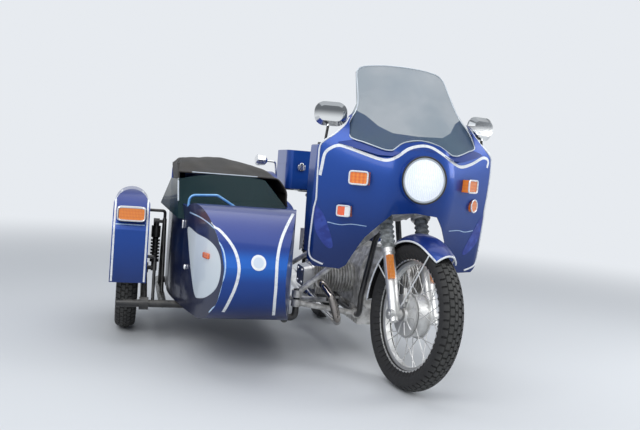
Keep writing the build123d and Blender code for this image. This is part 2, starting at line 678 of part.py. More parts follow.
def trunk_shell(low, high, open_top):
    """A rounded tray with one open side, as wide and deep as the box."""
    inner_low = low + trunk_wall if open_top else low - 1
    inner_high = high + 1 if open_top else high - trunk_wall
    outer_face = RectangleRounded(2 * trunk_half, trunk_deep, trunk_corner)
    inner_face = RectangleRounded(2 * trunk_half - 2 * trunk_wall, trunk_deep - 2 * trunk_wall,
                                  trunk_corner - trunk_wall)
    outer = extrude(Pos(0, trunk_mid_y, low) * outer_face, amount=high - low)
    return outer - extrude(Pos(0, trunk_mid_y, inner_low) * inner_face, amount=inner_high - inner_low)


trunk_box = trunk_shell(trunk_floor_z - 3.7, trunk_split_z, True)
trunk_lid = trunk_shell(trunk_split_z + seat_gap, trunk_top_z, False)
hinge_r = 6.0
hinge_y = trunk_back_y + hinge_r + 1.5
hinge_z = trunk_split_z
for across in (-1, 1):
    box_knuckle = rod((across * 150, hinge_y, hinge_z), (across * 190, hinge_y, hinge_z), hinge_r)
    box_knuckle += Pos(across * 170, trunk_back_y + 3, hinge_z - 14) * Box(40, 6, 28)
    trunk_box += box_knuckle
    lid_knuckle = rod((across * 191, hinge_y, hinge_z), (across * 231, hinge_y, hinge_z), hinge_r)
    lid_knuckle += Pos(across * 211, trunk_back_y + 3, hinge_z + 14 + seat_gap) * Box(40, 6, 28)
    trunk_lid += lid_knuckle
    pin = rod((across * 145, hinge_y, hinge_z), (across * 236, hinge_y, hinge_z), 2.5)
    hole = rod((across * 190.5, hinge_y, hinge_z), (across * 240, hinge_y, hinge_z), 2.5 + run_gap)
    trunk_lid -= hole
    trunk_box += pin
    trunk_box += Pos(across * 200, trunk_front_y - 4, trunk_split_z - 22) * Box(34, 8, 36)
    trunk_lid += Pos(across * 200, trunk_front_y - 4, trunk_split_z + 12) * Box(30, 8, 20)
add("trunk_box", trunk_box)
add("trunk_lid", trunk_lid)

# Centre stand: two legs folded back below the cradle, on a pivot tube under the frame

stand_y = 905.0
stand_z = 196.0
stand_leg = [(78, stand_y, stand_z), (92, 1020, stand_z + 6), (116, 1112, stand_z + 2)]
stand = rod((-cradle_x + 14, stand_y, stand_z), (cradle_x - 14, stand_y, stand_z), 13)
half_stand = tube(stand_leg, 11, 40) + rod((116, 1106, stand_z + 2), (116, 1122, stand_z + 2), 17)
stand += half_stand + mirrored(half_stand)
stand += rod((-88, 1000, stand_z + 4), (88, 1000, stand_z + 4), 9)
stand -= rod((-200, stand_y, stand_z), (200, stand_y, stand_z), 7 + run_gap)
add("centre_stand", stand)
stand_lug = push(outline(side(cradle_x - 9.5), (stand_y - 22, cradle_z), (stand_y - 14, stand_z - 8),
                         (stand_y + 14, stand_z - 8), (stand_y + 22, cradle_z + 8)), (8, 0, 0))
main_frame += stand_lug + mirrored(stand_lug)
main_frame += rod((-cradle_x, stand_y, stand_z), (cradle_x, stand_y, stand_z), 7)

for across in (-1, 1):
    main_frame += rod((across * cradle_x, 845, cradle_z), (across * 150, 835, 268), 11)
    main_frame += rod((across * 150, 835, 268), (across * 236, 835, 282), 9)
    main_frame += rod((across * 152, 835, 268.5), (across * 240, 835, 282.5), 15)
    pedal = [(140, 830, 262), (158, 770, 238), (158, 668, 232), (158, 640, 258)]
    main_frame += tube([(across * x, y, z) for x, y, z in pedal], 6, 20)
    main_frame += rod((across * 146, 640, 258), (across * 206, 640, 262), 9)
add("main_frame", main_frame)

# Fairing: a thin lofted shell round the headlamp, cut to its outline seen from the front

# columns: z, nose y, half width of the flat nose, shoulder y, half width at the shoulder
fairing_sections = [(470, 200, 150, 268, fairing_half), (700, 96, 150, 232, fairing_half),
                    (headlamp_z, 12, 132, 206, fairing_half), (1050, 38, 118, 200, fairing_half - 4),
                    (1215, 180, 110, 292, fairing_half - 12)]


def fairing_loft(inset):
    """The closed form behind the fairing's skin, drawn in by the wall."""
    faces = []
    for z, nose_y, nose_half, shoulder_y, shoulder_half in fairing_sections:
        half = shoulder_half - inset
        back = fairing_back_y + inset + 20
        points = [(-half, back, z), (-half, shoulder_y + inset, z), (-nose_half, nose_y + inset, z),
                  (nose_half, nose_y + inset, z), (half, shoulder_y + inset, z), (half, back, z)]
        path = FilletPolyline(*points, radius=[42 - inset, 130, 130, 42 - inset])
        faces.append(make_face(path.edges() + [Line(points[-1], points[0])]))
    return loft(faces, ruled=False)


half_fairing = [(0, 768), (108, 756), (150, 706), (196, 640), (250, 505), (276, 484), (396, 490),
                (fairing_half - 8, 520), (fairing_half + 4, 760), (fairing_half + 4, 1028), (398, 1064),
                (350, 1098), (316, 1134), (290, 1178), (258, 1208), (222, 1196), (150, 1118), (0, 1100)]
fairing_cut = push(outline(front(-60), *both(half_fairing)), (0, fairing_back_y + 60, 0))

# Windscreen: a bent sheet leaning back from the fairing, with a stepped lower edge

screen_lean = radians(screen_rake)
screen_way = Vector(0, sin(screen_lean), cos(screen_lean))
screen_foot = Vector(0, screen_foot_y, screen_foot_z)
bend_centre = screen_foot + Vector(0, cos(screen_lean), -sin(screen_lean)) * screen_bend_r


def screen_roll(inset):
    """The closed cylinder behind the screen's outer face, drawn in by an inset."""
    return rod(bend_centre - screen_way * 300, bend_centre + screen_way * 900, screen_bend_r - inset)


half_screen = [(0, 1086), (84, 1070), (142, 1034), (178, 1034), (256, 1060), (306, 1080), (300, 1150),
               (250, 1240), (226, 1400), (200, 1430), (150, 1441), (0, 1449)]
screen_cut = push(outline(front(-80), *both(half_screen)), (0, 620, 0))
windscreen = (screen_roll(0) - screen_roll(screen_wall)) & screen_cut
add("windscreen", windscreen)

# The fairing's upper edge follows the back of the screen and rises beside it in two ears

half_ears = [(0, 1050), (84, 1036), (142, 1010), (200, 1010), (350, 1050), (350, 1098), (316, 1134),
             (290, 1178), (258, 1208), (222, 1188), (176, 1140), (120, 1112), (0, 1106)]
fairing = (fairing_loft(0) - fairing_loft(fairing_wall)) & fairing_cut
screen_back = screen_roll(screen_wall + seat_gap)
fairing -= screen_cut - screen_back
ears_cut = push(outline(front(-60), *both(half_ears)), (0, 500, 0))
fairing += (screen_back - screen_roll(screen_wall + fairing_wall)) & ears_cut
fairing += rod((0, headlamp_front_y + 2, headlamp_z), (0, 60, headlamp_z), headlamp_r + 11)
fairing -= rod((0, headlamp_front_y - 10, headlamp_z), (0, 200, headlamp_z), headlamp_r + 4)
add("fairing", fairing)

# Headlamp: a bucket behind a bright rim and a bowed lens

rim_r = headlamp_r + 3.7
headlamp_profile = [(-8, 0), ((-6, headlamp_r / 2), (1, headlamp_r - 6)), (0, rim_r), (14, rim_r),
                    (14, headlamp_r), (74, headlamp_r), ((142, 78), (166, 34)), (172, 0)]
add("headlamp", turned(headlamp_profile, (0, headlamp_front_y, headlamp_z), (0, 1, 0)))

# Fairing signals: a front pair of rectangular lamps and a lower pair of small markers

fairing_turn = 37.0
signal = Pos(266, 78, 905) * Rot(0, 0, fairing_turn) * Pos(0, 22, 0) * Box(84, 66, 56)
marker = Pos(-304, 138, 755) * Rot(0, 0, -fairing_turn) * Pos(0, 20, 0) * Box(60, 64, 46)
round_lamp = rod((323, 136, 815), (292, 178, 815), 29)
fairing_front = fairing_loft(-seat_gap)
add("fairing_signals", pair(signal - fairing_front) + [marker - fairing_front, round_lamp - fairing_front])

mirror_wide = 148.0
mirror_high = 108.0
mirror_at = Pos(370, 250, 1181) * Rot(90, 0, 0) * Rot(0, 12, 0)
mirror_outline = RectangleRounded(mirror_wide, mirror_high, mirror_high / 2 - 8)
mirror_head = extrude(mirror_at * mirror_outline, amount=8)
mirror_head += extrude(mirror_at * Pos(0, 0, 8) * mirror_outline, amount=26, taper=38)
mirror_stalk = rod((392, 236, 1036), (378, 240, 1150), 6)
mirror_foot = rod((392, 236, 1040), (fairing_half + 10, 236, 1040), 10)
mirror_foot &= fairing_loft(fairing_wall + seat_gap)
add("mirrors", pair(mirror_head + mirror_stalk + mirror_foot))

# Sidecar body: a barrel-nosed shell, open above the cockpit, cut from its side and plan outlines


def body_form(inset):
    """Side outline across the whole width, cut to the plan outline, both drawn in by the wall."""
    low = body_floor_z + inset
    nose = 74.0 + inset
    half = body_half - inset
    profile = outline(side(body_x - 400), (330 + inset, low), ((nose + 44, 330), (nose, 490)),
                      ((nose + 100, 636), (560, deck_z - inset)), (700, deck_z + 14 - inset),
                      (1180, deck_z + 60 - inset), ((1480, 880 - inset), (1640 - inset, 700)),
                      (body_tail_y - inset, 480), ((body_tail_y - 40, 300), (1600, low)))
    from_side = push(profile, (800, 0, 0))
    right = [(128.0 - inset, 60.0), ((208 - inset, 300), (268 - inset, 600)),
             ((304 - inset, 830), (half, 1060)), ((288 - inset, 1420), (190 - inset, body_tail_y + 10))]
    left = [((-288 + inset, 1420), (-half, 1060)), ((-304 + inset, 830), (-268 + inset, 600)),
            ((-208 + inset, 300), (-128.0 + inset, 60.0))]
    face = outline(lambda x, y: (body_x + x, y, 100), right[0], *right[1:],
                   (-190 + inset, body_tail_y + 10), *left)
    return from_side & push(face, (0, 0, 1000))


cockpit_front_y = 770.0
cockpit_back_y = 1330.0
cockpit_half = 235.0
sidecar_body = body_form(0) - body_form(body_wall)
cockpit_face = outline(lambda x, y: (body_x + x, y, 600), (-cockpit_half + 60, cockpit_front_y),
                       (cockpit_half - 60, cockpit_front_y), (cockpit_half, cockpit_front_y + 90),
                       (cockpit_half, cockpit_back_y - 60), (cockpit_half - 60, cockpit_back_y),
                       (-cockpit_half + 60, cockpit_back_y), (-cockpit_half, cockpit_back_y - 60),
                       (-cockpit_half, cockpit_front_y + 90))
sidecar_body -= push(cockpit_face, (0, 0, 500))
add("sidecar_body", sidecar_body)

# Sidecar windscreen: a front pane leaning back on the scuttle and a side pane outside the body

# columns: z, corner x and y where the panes meet, x and y at the rear end of the side pane
pane_rows = [(640, -300, 602, -385, 1000), (860, -303, 748, -312, 960)]
pane_faces = []
for z, corner_x, corner_y, end_x, end_y in pane_rows:
    inner_y = corner_y + screen_wall
    corners = [(end_x, end_y), (corner_x, corner_y), (300, corner_y), (300, inner_y),
               (corner_x + screen_wall, inner_y), (end_x + screen_wall, end_y)]
    pane_faces.append(outline(lambda x, y, z=z: (body_x + x, y, z), *corners))
pane_keep = outline(lambda x, z: (body_x + x, 560, z), (-298, 640), (-392, 702), (-392, 814), (-303, 826),
                    ((-90, 862), (136, 849)), (252, 703), (262, 640))
panes = loft(pane_faces, ruled=True) & push(pane_keep, (0, 500, 0))
panes -= body_form(-seat_gap)
add("sidecar_screen", panes)

# A bent hand rail stands on the outer half of the scuttle in front of the screen

rail_feet_y = 590.0
rail_path = [(-258, 650), (-252, 756), (-120, 764), (-8, 700)]
deck_rail = tube([(body_x + x, rail_feet_y, z) for x, z in rail_path], 6, 30) - body_form(-seat_gap)
add("deck_rail", sorted(deck_rail.solids(), key=lambda piece: piece.volume)[-1])

# Cockpit cover: one sheet from the screen's upper edge over the cockpit to the rear deck


def cover_form(inset):
    """Side outline cut to an arch that stands upright on the outer side and slopes on the inner side."""
    outer = -298.0 + inset
    inner = 266.0 - inset
    profile = outline(side(body_x - 400), (756 + inset, 704), (756 + inset, 862 - inset),
                      ((1000, 952 - inset), (1330 - inset, 934 - inset)), (1440 - inset, 866),
                      (1440 - inset, 848), (1180, 744), (860, 704))
    outer_bend = ((outer + 14, 926 - inset), (outer + 54, 938 - inset))
    crown = ((-90, 954 - inset), (40, 936 - inset))
    inner_slope = ((160, 898 - inset), (inner - 20, 812))
    arch = outline(lambda x, z: (body_x + x, 600, z), (outer, 700), (outer, 890), outer_bend, crown,
                   inner_slope, (inner, 700))
    return push(profile, (800, 0, 0)) & push(arch, (0, 1000, 0))


side_window = push(outline(side(body_x - 400), (700, 640), (962, 640), (962, 820), (700, 830)),
                   (400 - body_half + 70, 0, 0))
cover = cover_form(0) - cover_form(5) - body_form(-seat_gap) - side_window
cover_pieces = sorted(cover.solids(), key=lambda piece: piece.volume)
add("sidecar_cover", cover_pieces[-1])

seat_back = Pos(body_x, 1268, 520) * Rot(-14, 0, 0) * Box(400, 90, 400)
cushion_low = body_floor_z + body_wall + seat_gap
cushion_high = 136.0
seat_cushion = Pos(body_x, 1010, cushion_low + cushion_high / 2) * Box(400, 400, cushion_high)
add("sidecar_seat", seat_cushion + seat_back)

# Sidecar frame: two rails, cross tubes and a tower for the shock

rail_front_y = 430.0
cross_r = rail_r - 1.5
frame_cross = ((swing_pivot_y, -1252.0), (1420.0, sidecar_outer_x))
tower_y = 1040.0
tower_top_z = 596.0
tower_top = (sidecar_outer_x, tower_y, tower_top_z)
side_shock_x = -1072.0


def level_rod(x0, y0, x1, y1, radius):
    """A round bar at the height of the sidecar's rails."""
    return rod((x0, y0, sidecar_rail_z), (x1, y1, sidecar_rail_z), radius)


sidecar_frame = level_rod(sidecar_inner_x, rail_front_y, sidecar_inner_x, 1560, rail_r)
sidecar_frame += level_rod(sidecar_outer_x, swing_pivot_y, sidecar_outer_x, 1420, rail_r)
for cross_y, cross_end in frame_cross:
    sidecar_frame += level_rod(sidecar_inner_x, cross_y, cross_end, cross_y, cross_r)
for leg_y in (900.0, 1180.0):
    sidecar_frame += rod((sidecar_outer_x, leg_y, sidecar_rail_z), tower_top, 11)
shock_pin_z = tower_top_z - 14
shock_pin = (side_shock_x + 16 - seat_gap, tower_y, shock_pin_z)
sidecar_frame += rod((sidecar_outer_x, tower_y, shock_pin_z), shock_pin, 9)
bracket_x = -412.0
gooseneck = [(sidecar_inner_x, 460, sidecar_rail_z), (bracket_x, 454, sidecar_rail_z),
             (bracket_x, 454, 345)]
sidecar_frame += tube(gooseneck, 16, 26)
rear_post = [(sidecar_inner_x, 1300, sidecar_rail_z), (-344, 1300, sidecar_rail_z), (-344, 1300, 310)]
sidecar_frame += tube(rear_post, 16, 26)
sidecar_frame += level_rod(sidecar_inner_x, 960, -330, 960, 14)
for cross_y, cross_end in frame_cross:
    for across in (-150, 150):
        pad = (body_x + across, cross_y)
        sidecar_frame += rod((*pad, sidecar_rail_z), (*pad, body_floor_z - seat_gap), 15)
fender_inner_x = sidecar_wheel_x + fender_half + seat_gap
brackets = [[(sidecar_outer_x, tower_y, tower_top_z - 6), (sidecar_outer_x, tower_y, 640),
             (fender_inner_x, tower_y, 640)],
            [(-1080, swing_pivot_y, sidecar_rail_z), (-1080, 744, 430), (fender_inner_x, 744, 430)]]
for bracket in brackets:
    sidecar_frame += tube(bracket, 8, 14)
add("sidecar_frame", sidecar_frame)

# Struts: four clamped tubes between the motorcycle and the sidecar's inner rail

strut_r = 14.0
clamp_half = 17.0


def clamp_on(point, way, tube_r):
    """A split collar round a tube at a point on its line, and the bore that takes the tube."""
    along = Vector(way).normalized() * clamp_half
    collar = rod(point - along, point + along, tube_r + 8)
    return collar, rod(point - along * 3, point + along * 3, tube_r + run_gap)


def beside(start, end, at):
    """The point at a distance along a line, and the line's direction."""
    way = Vector(end) - Vector(start)
    return Vector(start) + way.normalized() * at, way


def on_right(points):
    return [(-x, y, z) for x, y, z in points]


upward = (0, 0, 1)
rearward = (0, 1, 0)
down_tube = beside(*on_right([cradle[1], cradle[0]]), 75)
seat_tube = beside(*on_right(rear_strut), 120)
low_tube_front = (Vector(-cradle_x, 454, cradle_z), rearward)
low_tube_back = (Vector(-cradle_x, 765, cradle_z), rearward)
# columns: point on the sidecar's tube, its direction, its radius; then the same on the motorcycle's frame
strut_rows = [((Vector(bracket_x, 454, 322), upward), 16, down_tube, frame_r),
              ((Vector(bracket_x, 454, 277), upward), 16, low_tube_front, frame_r),
              ((Vector(-344, 1300, 288), upward), 16, seat_tube, frame_r - 3),
              ((Vector(-352, 960, sidecar_rail_z), (1, 0, 0)), 14, low_tube_back, frame_r)]
struts = []
for (low_point, low_way), low_r, (high_point, high_way), high_r in strut_rows:
    low_collar, low_bore = clamp_on(low_point, low_way, low_r)
    high_collar, high_bore = clamp_on(high_point, high_way, high_r)
    strut = rod(low_point, high_point, strut_r) + low_collar + high_collar
    struts.append(strut - low_bore - high_bore)
add("sidecar_struts", struts)

# Sidecar wheel arm: trailing arm on the cross tube, stub axle and brake plate

arm_x = -1122.0
wheel_inner_x = sidecar_wheel_x + hub_half + 14.5


def wheel_rod(x0, x1, radius):
    """A round bar on the sidecar wheel's axle line."""
    return rod((x0, sidecar_wheel_y, rear_tyre_r), (x1, sidecar_wheel_y, rear_tyre_r), radius)


arm = level_rod(arm_x - 22, swing_pivot_y, arm_x + 22, swing_pivot_y, 31)
arm += rod((arm_x, swing_pivot_y, sidecar_rail_z), (arm_x, sidecar_wheel_y, rear_tyre_r), 17)
arm += wheel_rod(arm_x + 22, arm_x - 22, 28)
arm += wheel_rod(arm_x, sidecar_wheel_x - hub_half - 32, axle_r)
arm += wheel_rod(wheel_inner_x, sidecar_wheel_x + 70, 17)
arm += wheel_rod(sidecar_wheel_x - hub_half - 20, sidecar_wheel_x - hub_half - 34, 15)
plate_in = hub_half + 2.5
arm += ring([(plate_in, 0), (plate_in, hub_r - 4), (plate_in + 9, hub_r - 6), (plate_in + 12, 40),
             (plate_in + 20, 30), (plate_in + 40, 28), (plate_in + 40, 0)], sidecar_axle)
arm -= level_rod(arm_x - 60, swing_pivot_y, arm_x + 60, swing_pivot_y, cross_r + run_gap)
side_foot_y = sidecar_wheel_y - 40
side_foot_z = rear_tyre_r + 6
arm += rod((arm_x, side_foot_y, side_foot_z), (side_shock_x - 15.6, side_foot_y, side_foot_z), 11)
add("sidecar_swingarm", arm)
side_foot = (side_shock_x, side_foot_y, side_foot_z)
side_top = (side_shock_x, tower_y, shock_pin_z)
side_shock = shock(side_foot, side_top, 24, 7)
for eye_x, eye_y, eye_z in (side_foot, side_top):
    side_shock += rod((eye_x - 15.3, eye_y, eye_z), (eye_x + 15.3, eye_y, eye_z), 16)
add("sidecar_shock", side_shock)

# Sidecar fender: a crowned cover over the wheel, open below, with its lamps


fender_rear_y = 2 * sidecar_wheel_y - fender_front_y


def fender_form(inset):
    """Side outline cut to a crowned arch, both drawn in by the wall."""
    half = fender_half - inset
    slant = 0.7 * inset
    front_y = fender_front_y + inset
    rear_y = fender_rear_y - inset
    low = 300.0 if inset == 0 else 200.0
    top = fender_top_z - inset
    front_arc = ((fender_front_y + 96 + slant, 700 - slant), (sidecar_wheel_y - 40, top))
    rear_arc = ((fender_rear_y - 70 - slant, 680 - slant), (rear_y, 430))
    profile = outline(side(sidecar_wheel_x - 200), (front_y, low), (front_y, 560), front_arc, rear_arc,
                      (rear_y, low))
    arch = outline(lambda x, z: (sidecar_wheel_x + x, 500, z), (-half, low), (-half, 686),
                   ((0, top), (half, 686)), (half, low))
    return push(profile, (400, 0, 0)) & push(arch, (0, 1200, 0))


sidecar_fender = fender_form(0) - fender_form(fender_wall)
inner_cut = push(outline(side(-1140), (fender_front_y + 60, 200), (fender_front_y + 60, 470),
                         ((sidecar_wheel_y, 610), (1380, 470)), (1380, 200)), (60, 0, 0))
sidecar_fender -= inner_cut
add("sidecar_fender", sidecar_fender)
front_lamp = Pos(sidecar_wheel_x, fender_front_y + 14, 640) * Box(126, 78, 62)
front_lamp -= fender_form(-seat_gap)
rear_lamp = Pos(sidecar_wheel_x, fender_rear_y + 12 + seat_gap, 400) * Box(90, 24, 60)
add("sidecar_lamps", [front_lamp, rear_lamp])
nose_badge = rod((body_x + 12, 60, 515), (body_x + 12, 200, 515), 32) - body_form(-seat_gap)
nose_badge &= body_form(-3)
add("nose_disc", nose_badge)

os.makedirs("parts", exist_ok=True)
place = Pos(-origin_x, -origin_y, 0)
for name, part in nodes.items():
    pieces = part if isinstance(part, list) else [part]
    if name in steered:
        pieces = [piece.rotate(head_axis, steer_at_rest) for piece in pieces]
    solids = [place * solid for piece in pieces for solid in piece.solids()]
    export_step(solids[0] if len(solids) == 1 else Compound(solids), f"parts/{name}.step")
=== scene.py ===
import json
from math import cos, pi, radians, sin

import bmesh
import bpy
import numpy as np
from mathutils import Matrix, Vector


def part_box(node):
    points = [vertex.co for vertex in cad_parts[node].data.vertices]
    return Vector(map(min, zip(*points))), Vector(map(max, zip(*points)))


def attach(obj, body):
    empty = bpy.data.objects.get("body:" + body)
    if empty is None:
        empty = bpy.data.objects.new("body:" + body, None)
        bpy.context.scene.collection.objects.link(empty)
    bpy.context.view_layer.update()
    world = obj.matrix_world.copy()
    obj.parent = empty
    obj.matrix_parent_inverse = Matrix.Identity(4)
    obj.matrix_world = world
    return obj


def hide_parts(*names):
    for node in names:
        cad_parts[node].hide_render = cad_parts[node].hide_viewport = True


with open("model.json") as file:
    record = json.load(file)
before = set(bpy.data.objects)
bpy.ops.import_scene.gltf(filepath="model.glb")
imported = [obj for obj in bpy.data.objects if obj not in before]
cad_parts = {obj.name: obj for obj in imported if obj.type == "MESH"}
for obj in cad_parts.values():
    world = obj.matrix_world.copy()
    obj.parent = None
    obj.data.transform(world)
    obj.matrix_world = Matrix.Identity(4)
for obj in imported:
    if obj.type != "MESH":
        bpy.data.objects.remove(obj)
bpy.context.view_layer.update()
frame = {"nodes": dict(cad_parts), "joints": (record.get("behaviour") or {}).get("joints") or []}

nodes = frame["nodes"]
joints = {joint["name"]: joint for joint in frame["joints"]}

# Studio: the outfit stands on a pale floor under soft light. The camera is at waist height ahead of the
# sidecar and leans a little to one side; its lens is about 39 mm, or 700 pixels for a picture of 640.
scene = bpy.context.scene
scene.view_settings.view_transform = "Standard"


def stand(name, data):
    """A new object in the scene."""
    made = bpy.data.objects.new(name, data)
    scene.collection.objects.link(made)
    return made


eye = Vector((-0.80413, -3.56026, 0.92555))
yaw, pitch, roll = 0.266, 0.064, 0.080
ahead = Vector((sin(yaw) * cos(pitch), cos(yaw) * cos(pitch), -sin(pitch)))
level = Vector((cos(yaw), -sin(yaw), 0.0))
upright = level.cross(ahead)
right = cos(roll) * level + sin(roll) * upright
above = -sin(roll) * level + cos(roll) * upright
camera_data = bpy.data.cameras.new("camera")
camera_data.sensor_width = 36.0
camera_data.lens = camera_data.sensor_width * 700.0 / 640.0
camera = stand("camera", camera_data)
camera.matrix_world = Matrix.Translation(eye) @ Matrix((right, above, -ahead)).transposed().to_4x4()
scene.camera = camera


def by(operation):
    """A method that feeds a term, and what comes after it, to one Math node."""
    def method(self, *others):
        inputs = dict(enumerate((self,) + others))
        return self.paint.node("ShaderNodeMath", {"operation": operation}, inputs)

    return method


class Term:
    """A socket in a sum: + - * / < > add Math nodes, the first three also where the number comes first."""

    def __init__(self, paint, socket):
        self.paint = paint
        self.socket = socket

    __add__ = __radd__ = by("ADD")
    __mul__ = __rmul__ = by("MULTIPLY")
    __sub__, __truediv__ = by("SUBTRACT"), by("DIVIDE")
    __lt__, __gt__ = by("LESS_THAN"), by("GREATER_THAN")
    both, either = by("MINIMUM"), by("MAXIMUM")
    size, wave, root = by("ABSOLUTE"), by("SINE"), by("SQRT")
    angle, fold = by("ARCTAN2"), by("PINGPONG")

    def __rsub__(self, other):
        return self.paint.node("ShaderNodeMath", {"operation": "SUBTRACT"}, {0: other, 1: self})

    def fade(self, start, end):
        """0 at start, 1 at end, smooth between them."""
        settings = {"interpolation_type": "SMOOTHSTEP"}
        return self.paint.node("ShaderNodeMapRange", settings, {0: self, 1: start, 2: end, 3: 0.0, 4: 1.0})


class Paint:
    """A finish under construction on one Principled shader."""

    def __init__(self, name, color, roughness, metallic=0.0, **fixed):
        self.material = bpy.data.materials.new(name)
        self.material.use_nodes = True
        self.tree = self.material.node_tree
        self.shader = self.tree.nodes["Principled BSDF"]
        self.set(Base_Color=(*color, 1.0), Roughness=roughness, Metallic=metallic, **fixed)

    def feed(self, socket, value):
        if isinstance(value, Term):
            self.tree.links.new(value.socket, socket)
        else:
            socket.default_value = value

    def set(self, **values):
        """Constants or links on the shader's own sockets; _ stands for a space."""
        for key, value in values.items():
            self.feed(self.shader.inputs[key.replace("_", " ")], value)

    def node(self, kind, settings, inputs, out=0):
        """Any other node: its type, its settings, the values or links of its sockets."""
        made = self.tree.nodes.new(kind)
        for key, value in settings.items():
            setattr(made, key, value)
        for key, value in inputs.items():
            self.feed(made.inputs[key], value)
        return Term(self, made.outputs[out])

    def place(self):
        """Object coordinates as three terms and as one vector."""
        where = self.node("ShaderNodeTexCoord", {}, {}, "Object")
        split = self.node("ShaderNodeSeparateXYZ", {}, {0: where})
        return [Term(self, split.socket.node.outputs[i]) for i in range(3)], where

    def facing(self):
        """The surface's direction in object space as three terms."""
        where = self.node("ShaderNodeTexCoord", {}, {}, "Normal")
        split = self.node("ShaderNodeSeparateXYZ", {}, {0: where})
        return [Term(self, split.socket.node.outputs[i]) for i in range(3)]

    def noise(self, scale, detail=3.0):
        _, where = self.place()
        return self.node("ShaderNodeTexNoise", {}, {"Vector": where, "Scale": scale, "Detail": detail})

    def mix(self, mask, first, second):
        """first where mask is 0, second where it is 1; colours as (r, g, b)."""
        ends = [value if isinstance(value, Term) else (*value, 1.0) for value in (first, second)]
        return self.node("ShaderNodeMix", {"data_type": "RGBA"}, {0: mask, 6: ends[0], 7: ends[1]}, 2)

    def patchy(self, scale, start, end, first, second, detail=3.0):
        """Colours the finish first or second in patches, and returns where it is second."""
        mask = self.noise(scale, detail).fade(start, end)
        self.set(Base_Color=self.mix(mask, first, second))
        return mask

    def vector(self, operation, first, second=(0.0, 0.0, 0.0), out=0):
        """Two vectors subtracted, or with out 1 a number from them."""
        return self.node("ShaderNodeVectorMath", {"operation": operation}, {0: first, 1: second}, out)

    def bump(self, height, depth):
        """Relief of that many metres."""
        return self.node("ShaderNodeBump", {}, {"Strength": 1.0, "Distance": depth, "Height": height})


def cover(paint, *names):
    """Gives carried pieces their finish."""
    for name in names:
        nodes[name].data.materials.clear()
        nodes[name].data.materials.append(paint.material)


# Floor and light: a pale sheet that keeps the outfit's shadow and fades into the backdrop, a broad key
# lamp at the front, and weaker ones overhead and at the left.
backdrop_color = (0.80, 0.83, 0.87, 1.0)
floor_size = 60.0
floor_mesh = bpy.data.meshes.new("floor")
corners = [(-floor_size, -floor_size, 0), (floor_size, -floor_size, 0),
           (floor_size, floor_size, 0), (-floor_size, floor_size, 0)]
floor_mesh.from_pydata(corners, [], [(0, 1, 2, 3)])
floor = stand("floor", floor_mesh)
floor_paint = Paint("floor_finish", (0.66, 0.68, 0.70), 0.7)
floor_mesh.materials.append(floor_paint.material)


def seen(paint):
    """1 where a ray comes from the camera, a gloss or a glass, else 0."""
    rays = paint.node("ShaderNodeLightPath", {}, {}, "Is Camera Ray")
    outputs = rays.socket.node.outputs
    straight = rays.either(Term(paint, outputs["Is Glossy Ray"]))
    return straight.either(Term(paint, outputs["Is Transmission Ray"]))


_, floor_place = floor_paint.place()
far_off = floor_paint.vector("LENGTH", floor_place, out=1)
haze_from, haze_full = 2.2, 7.0
haze = floor_paint.node("ShaderNodeEmission", {}, {0: backdrop_color, 1: 1.0})
lit = Term(floor_paint, floor_paint.shader.outputs[0])
mixed = floor_paint.node("ShaderNodeMixShader", {},
                         {0: far_off.fade(haze_from, haze_full) * seen(floor_paint), 1: lit, 2: haze})
floor_paint.feed(floor_paint.tree.nodes["Material Output"].inputs[0], mixed)


class Sky(Paint):
    """The same tools on the world's nodes."""

    def __init__(self, name):
        self.world = bpy.data.worlds.new(name)
        self.world.use_nodes = True
        self.tree = self.world.node_tree


sky = Sky("studio")
scene.world = sky.world
backdrop = sky.node("ShaderNodeBackground", {}, {0: backdrop_color, 1: 1.0})
fill = sky.node("ShaderNodeBackground", {}, {0: (0.8, 0.86, 0.95, 1.0), 1: 0.42})
blend = sky.node("ShaderNodeMixShader", {}, {0: seen(sky), 1: fill, 2: backdrop})
sky.feed(sky.tree.nodes["World Output"].inputs[0], blend)

# columns: name, place, what it points at, width, height, power in watts
lamp_rows = [("key", (-2.6, -3.4, 3.6), (0.0, 0.0, 0.5), 4.2, 3.4, 150.0),
             ("overhead", (0.3, 0.4, 3.8), (0.0, 0.0, 0.4), 3.6, 3.6, 60.0),
             ("side", (3.6, -1.6, 2.2), (0.1, 0.0, 0.6), 1.6, 2.2, 60.0)]
for name, place, target, wide, high, power in lamp_rows:
    lamp_data = bpy.data.lights.new(name, "AREA")
    lamp_data.shape = "RECTANGLE"
    lamp_data.size = wide
    lamp_data.size_y = high
    lamp_data.energy = power
    aim = Vector(target) - Vector(place)
    turned_to = aim.to_track_quat("-Z", "Y").to_matrix().to_4x4()
    stand(name, lamp_data).matrix_world = Matrix.Translation(place) @ turned_to

# Black enamelled steel: the frame, swing arms, crash bars, shocks and the sidecar's undercarriage are
# welded tube, sprayed satin black; road dust dulls what faces up and the enamel is uneven close to.
enamel = Paint("black_enamel", (0.012, 0.012, 0.013), 0.38, 0.0, Coat_Weight=0.35, Coat_Roughness=0.2)
enamel_worn = enamel.noise(22.0, 5.0)
enamel_up = enamel.facing()[2].fade(0.2, 0.95)
enamel_dust = (enamel_worn.fade(0.38, 0.72) * 0.6 + enamel_up * enamel_worn.fade(0.3, 0.6)) * 0.5
enamel.set(Base_Color=enamel.mix(enamel_dust, (0.010, 0.010, 0.011), (0.11, 0.105, 0.095)),
           Roughness=enamel_dust * 0.4 + 0.34, Normal=enamel.bump(enamel.noise(420.0, 2.0), 0.00025))
cover(enamel, "main_frame", "centre_stand", "swingarm", "rear_shocks", "sidecar_frame", "sidecar_swingarm",
      "sidecar_shock")


